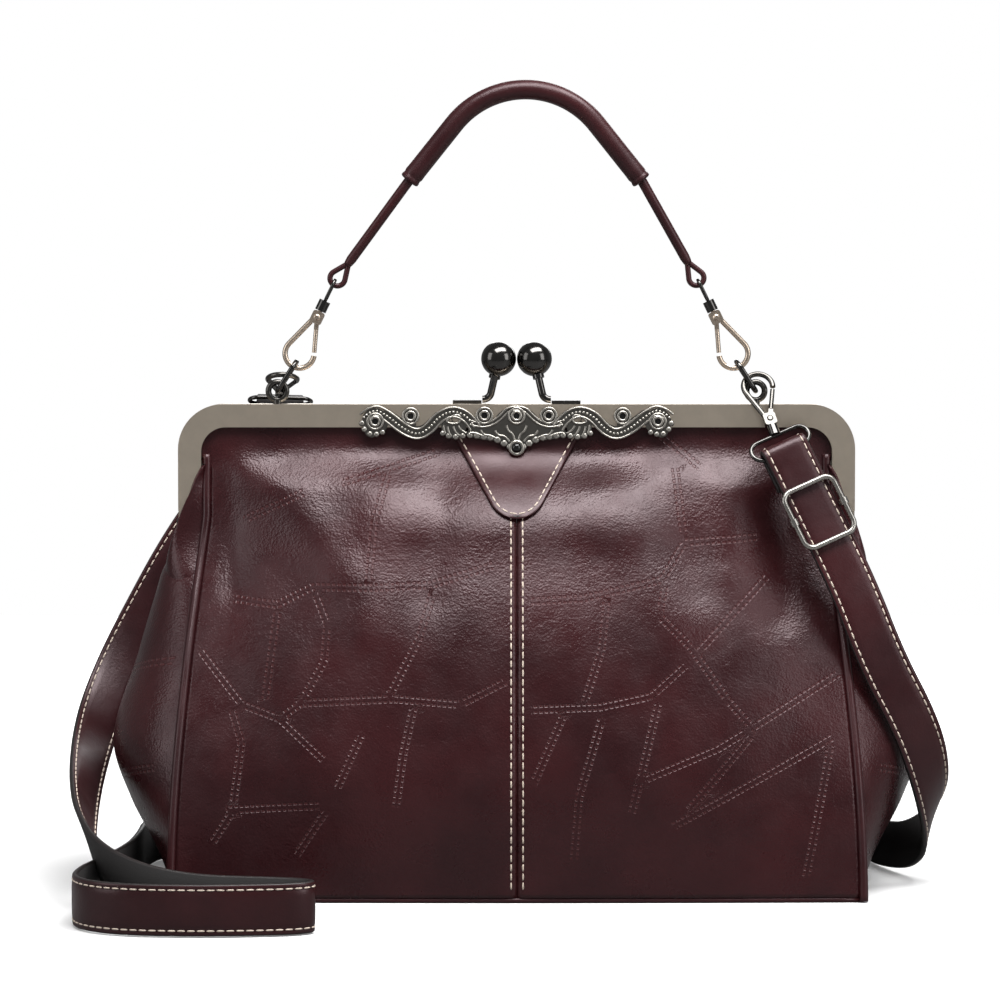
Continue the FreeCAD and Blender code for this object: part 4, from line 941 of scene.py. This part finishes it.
def tab_point(x, z, lift):
    """A place on the tab, standing out from the smooth front under it."""
    return Vector((x, -(soft_depth(x, z) + lift), z))


def make_tab():
    """Stitched tongue of leather with a painted edge."""
    edge = tab_edge()
    vertices = []
    for half, z in edge:
        for share in spread(-1.0, 1.0, TAB_COLUMNS):
            rim = max(min((1 - abs(share)) * half, z - TAB_TIP), 0.0)
            lift = TAB_LIFT - TAB_RIM_DROP * exp(-rim / TAB_RIM_BREADTH)
            vertices.append(tab_point(share * half, z, lift))
    faces = grid_faces(len(edge), TAB_COLUMNS, closed=False, flip=True)
    tab = mesh_object("tab_leather", vertices, faces, [trim_leather, edge_paint])
    add_modifier(tab, "SOLIDIFY", thickness=TAB_LEATHER, offset=-1, material_offset_rim=1)
    dress(tab, "bag", "strap_leather", "front_tab")
    outline = [Vector(place) for place in edge]
    outline += [Vector((-x, z)) for x, z in reversed(edge[:-1])]
    points = []
    for place, way in zip(outline, tangents(outline)):
        inner = place + Vector((way.y, -way.x)) * STITCH_INSET
        points.append(tab_point(inner.x, inner.y, TAB_LIFT))
    normals = [TAB_STITCH_NORMAL] * len(points)
    stitching("tab_stitching", [(points, normals)], "bag", "strap_leather")


make_tab()


# Ornament: relief on the pierced plate. Places are in mm from the middle and below the frame's
# top, and sizes are in mm.
PLATE_FACE = -7.4 * MM
EYES = ((0, 4.6), (12.8, 4.5), (42.2, 4.7), (56.3, 6.8))
EYE_PLACES = [(hand * across, below) for across, below in EYES
              for hand in ((1, -1) if across else (1,))]
DROP_STONE = (0, 17.4)
BAND_LINE = ((16.5, 9.5), (18.6, 5.6), (25, 2.4), (31, 5), (34.6, 9.6), (39.4, 12.4),
             (45, 10), (51.5, 4.6), (57, 1.6), (61, 5.4))
ARCH_LINE = ((0, 0.9), (3.6, 1), (6.4, 4.2), (9.6, 6.8), (14, 8), (18, 6.6))
SHIELD_LINES = (((0.6, 15.6), (1, 12), (3.6, 10.6), (4, 8.4)),
                ((3, 14.8), (4.6, 12.4), (7.6, 12.6), (8.6, 10.4)),
                ((8.2, 13.6), (10.6, 12.2), (13.2, 12.4), (14.4, 10.2)),
                ((13.6, 12.6), (16.4, 11.2), (18.6, 11.4)))
LEAF_LINES = (((20, 11.6), (22.4, 10.4), (23.2, 8.6)), ((22.8, 12.6), (24.8, 11), (25.2, 8.8)),
              ((26, 12.8), (27.4, 11), (27.4, 8.8)), ((28.4, 11.6), (29.2, 10), (28.8, 8.2)))
COMMA_LINE = ((22.4, 6.2), (22.2, 4.2), (25.4, 4.4), (28.4, 7), (25.6, 7.8), (22.6, 7.4),
              (22.4, 6.2))
# Place and radius of each
LOBES = ((2.6, 17, 1.5), (5, 15.6, 1.5), (7.6, 14.2, 1.5), (10.4, 13.4, 1.4),
         (13, 13, 1.4), (15.8, 12.6, 1.4), (18.6, 12.4, 1.3), (21.4, 12.6, 1.3),
         (24.2, 13, 1.3), (27, 12.6, 1.3), (29.4, 11.6, 1.2), (53.4, 11.2, 1.2),
         (55.8, 12, 1.2), (58.4, 11.8, 1.2), (60.6, 10, 1.2), (61.6, 7.6, 1.2))
BAND_REACH = 2
BEAD_PITCH = 1.5
ARCH_REACH = 1.5
RIDGE_STEPS = 6
RIDGE_SIDES = 8
RING_SIDES = 28


def on_plate(across, below, out=0.0):
    return Vector((across * MM, PLATE_FACE - out * MM, FRAME_TOP - below * MM))


def about(place, reach, turn, out):
    """A place on the plate at a distance and a turn from another."""
    return on_plate(place[0] + reach * cos(turn), place[1] + reach * sin(turn), out)


def ridge(line, radius, out=0.0):
    """Raised line on the plate, through smoothed points."""
    points = nurbs_points([on_plate(*place, out) for place in line], RIDGE_STEPS)
    return tube_grid(points, radius * MM, RIDGE_SIDES), grid_faces(len(points), RIDGE_SIDES)


def ring(place, mean, radius, out=0.0):
    """Raised circle on the plate."""
    vertices = [about(place, mean + radius * cos(bend), turn, out + radius * sin(bend))
                for turn in turns(RING_SIDES) for bend in turns(RIDGE_SIDES)]
    last = (RING_SIDES - 1) * RIDGE_SIDES
    closing = [(last + j, last + (j + 1) % RIDGE_SIDES, (j + 1) % RIDGE_SIDES, j)
               for j in range(RIDGE_SIDES)]
    return vertices, grid_faces(RING_SIDES, RIDGE_SIDES) + closing


def dome(place, radius, height, out=0.0, rows=5, sides=14):
    """Round boss on the plate."""
    rises = [pi / 2 * r / rows for r in range(rows)]
    vertices = [about(place, radius * cos(rise), turn, out + height * sin(rise))
                for rise in rises for turn in turns(sides)]
    vertices.append(on_plate(*place, out + height))
    first = (rows - 1) * sides
    top = [(first + k, first + (k + 1) % sides, rows * sides) for k in range(sides)]
    return vertices, grid_faces(rows, sides) + top


def beside(line, reach):
    """A line of places moved sideways."""
    points = [Vector(place) for place in line]
    return [(p.x - t.y * reach, p.y + t.x * reach) for p, t in zip(points, tangents(points))]


def mirrored(lines):
    """Each line of places, and its mirror image."""
    return [[(hand * x, below) for x, below in line] for line in lines for hand in (1, -1)]


def make_relief():
    """Scrolls, beads, lobes and rimmed eyes in metal, and the stones in them."""
    band_sides = (beside(BAND_LINE, BAND_REACH), beside(BAND_LINE, -BAND_REACH))
    parts = [ridge(line, radius=0.5) for line in mirrored(band_sides)]
    for line in mirrored((BAND_LINE,)):
        points = nurbs_points([Vector((x, below, 0.0)) for x, below in line], RIDGE_STEPS)
        for middle, _, _ in spaced(points, [Vector((0, 0, 1))] * len(points), BEAD_PITCH):
            parts.append(dome((middle.x, middle.y), radius=0.6, height=0.5))
    fine_lines = (ARCH_LINE, beside(ARCH_LINE, ARCH_REACH), COMMA_LINE)
    parts += [ridge(line, radius=0.45) for line in mirrored(fine_lines)]
    parts += [ridge(line, radius=0.55, out=-0.1) for line in mirrored(SHIELD_LINES + LEAF_LINES)]
    for across, below, radius in LOBES:
        parts += [dome((hand * across, below), radius, height=0.75, out=-0.3) for hand in (1, -1)]
    for place in EYE_PLACES:
        parts += [ring(place, mean=3.1, radius=0.55), ring(place, mean=1.75, radius=0.6, out=0.2)]
    parts += [ring(DROP_STONE, mean=2.55, radius=0.8, out=0.2),
              dome(DROP_STONE, radius=2.4, height=0.3)]
    relief = mesh_object("ornament_relief", *join(parts), [shaded_pewter])
    dress(relief, "bag", "filigree", "filigree_studs")
    dark = [dome(DROP_STONE, radius=1.95, height=1.5, out=0.2, rows=8, sides=24)]
    dark += [dome(place, radius=1.25, height=0.12) for place in EYE_PLACES]
    stone = mesh_object("ornament_stones", *join(dark), [black_stone])
    dress(stone, "bag", "filigree")


make_relief()


# Rolled handle
GRIP_RADIUS = 4 * MM
GRIP_HALF_SPAN = 46.5 * MM
GRIP_SHIFT = 3.5 * MM
GRIP_END = 280.65 * MM
GRIP_CREST = 317 * MM
GRIP_SLOPE = radians(51.36)
GRIP_SIDES = 28
GRIP_STEPS = 22
# Shares of the grip's straight side that have points, and of its radius at the ends and between
GRIP_POINTS = (0.0, 0.004, 0.012, 0.025, 0.05, 0.07, 0.09, 0.12, 0.2, 0.4, 0.6, 0.8)
GRIP_SHAPE = (0.62, 0.8, 0.93, 1.0, 1.0, 0.94, 0.94, 1.0)
GRIP_FULLNESS = 0.98
CORD_RADIUS = 2 * MM
LOOP_REACH, LOOP_FOOT = 73.12 * MM, 239.66 * MM
LOOP_RADIUS = 3 * MM
LOOP_STRAND = 1.1 * MM
LOOP_NECK = 7.5 * MM
LOOP_STEPS = 36
LOOP_SIDES = 12
# The cord's stem starts below the loop's neck, is full above it and ends inside the grip
STEM_FOOT = 1.5 * MM
STEM_RISE = 2 * MM
STEM_END = 1 * MM
STEM_RADII = (1.3 * MM, 1.75 * MM, CORD_RADIUS, CORD_RADIUS)
STEM_SIDES = 16


def grip_line():
    """Middle line of the grip: two straight sides and the bend over the top."""
    apex = GRIP_END + GRIP_HALF_SPAN * tan(GRIP_SLOPE)
    bend = (apex - GRIP_CREST) / (1 / cos(GRIP_SLOPE) - 1)
    centre = GRIP_CREST - bend
    slopes = [GRIP_SLOPE * (1 - i / GRIP_STEPS) for i in range(GRIP_STEPS)]
    arc = [Vector((bend * sin(slope), 0, centre + bend * cos(slope))) for slope in slopes]
    foot = Vector((GRIP_HALF_SPAN, 0, GRIP_END))
    half = [foot.lerp(arc[0], share) for share in GRIP_POINTS] + arc
    line = [Vector((-p.x, 0, p.z)) for p in half] + [Vector((0, 0, GRIP_CREST))] + half[::-1]
    return [p + Vector((GRIP_SHIFT, -SLOT_MIDDLE, 0)) for p in line]


def make_grip(line):
    """Padded grip, drawn in at its ends."""
    ends = [GRIP_RADIUS * share for share in GRIP_SHAPE]
    radii = ends + [GRIP_RADIUS * GRIP_FULLNESS] * (len(line) - 2 * len(ends)) + ends[::-1]
    grip = tube_object("grip_leather", line, radii, GRIP_SIDES, trim_leather)
    dress(grip, "handle", "handle_leather", "handle_grip")


def make_handle_cord(side_name, foot, grip_end):
    """Round cord out of the grip, ending in a loop through the hook's eye."""
    along = (grip_end - foot).normalized()
    side = Vector((along.z, 0, -along.x))
    centre = foot + along * LOOP_RADIUS
    neck = centre + along * LOOP_NECK
    inside = neck + along * STEM_RISE
    open_angle = acos(LOOP_RADIUS / LOOP_NECK)
    bow = [centre + (along * cos(angle) + side * sin(angle)) * LOOP_RADIUS
           for angle in spread(open_angle, 2 * pi - open_angle, LOOP_STEPS + 1)]
    loop = [inside, neck] + bow + [neck, inside]
    stem = [neck - along * STEM_FOOT, neck, inside, grip_end + along * STEM_END]
    stem_faces = grid_faces(len(stem), STEM_SIDES) + end_faces(len(stem), STEM_SIDES)[:1]
    vertices, faces = join([
        (tube_grid(loop, LOOP_STRAND, LOOP_SIDES), grid_faces(len(loop), LOOP_SIDES)),
        (tube_grid(stem, STEM_RADII, STEM_SIDES), stem_faces)])
    cord = mesh_object(f"handle_cord_{side_name}_leather", vertices, faces, [trim_leather])
    dress(cord, "handle", "handle_leather", f"handle_cord_{side_name}")


handle_line = grip_line()
make_grip(handle_line)
make_handle_cord("left", Vector((-LOOP_REACH, -SLOT_MIDDLE, LOOP_FOOT)), handle_line[0])
make_handle_cord("right", Vector((LOOP_REACH, -SLOT_MIDDLE, LOOP_FOOT)), handle_line[-1])


# Metal fittings and the base board: the CAD solids themselves, with finishes and softened edges
BEVEL_SEGMENTS = 3
BEVEL_ANGLE = radians(40)
NORMAL_WEIGHT = 80


def finish_node(name, material, edge=0.0):
    """Give a CAD node its material, and edges softened by some mm."""
    obj = nodes[name]
    obj.data.materials.clear()
    obj.data.materials.append(material)
    obj.data.shade_smooth()
    if edge:
        add_modifier(obj, "BEVEL", width=edge * MM, segments=BEVEL_SEGMENTS,
                     limit_method="ANGLE", angle_limit=BEVEL_ANGLE)
    add_modifier(obj, "WEIGHTED_NORMAL", keep_sharp=True, weight=NORMAL_WEIGHT)


finish_node("front_jaw", pewter, 0.7)
finish_node("back_jaw", pewter, 0.7)
finish_node("hinge_pins", dark_bronze, 0.2)
finish_node("filigree_plate", shaded_pewter, 0.25)
finish_node("base_board", board_plastic, 0.5)
for side_name in ("left", "right"):
    for piece in ("eyelet", "lock_base"):
        finish_node(f"{piece}_{side_name}", dark_bronze, 0.2)
    for piece in ("lock_arm", "lock_ball", "jump_ring"):
        finish_node(f"{piece}_{side_name}", gunmetal)
    for kind, metal in (("handle", pale_bronze), ("strap", dark_bronze)):
        for piece, edge in (("body", 0.35), ("gate", 0.15), ("rivet", 0.1)):
            finish_node(f"{kind}_hook_{side_name}_{piece}", metal, edge)
        finish_node(f"{kind}_hook_{side_name}_swivel", gunmetal, 0.15)
finish_node("slider_frame", steel)
finish_node("slider_bar", steel)
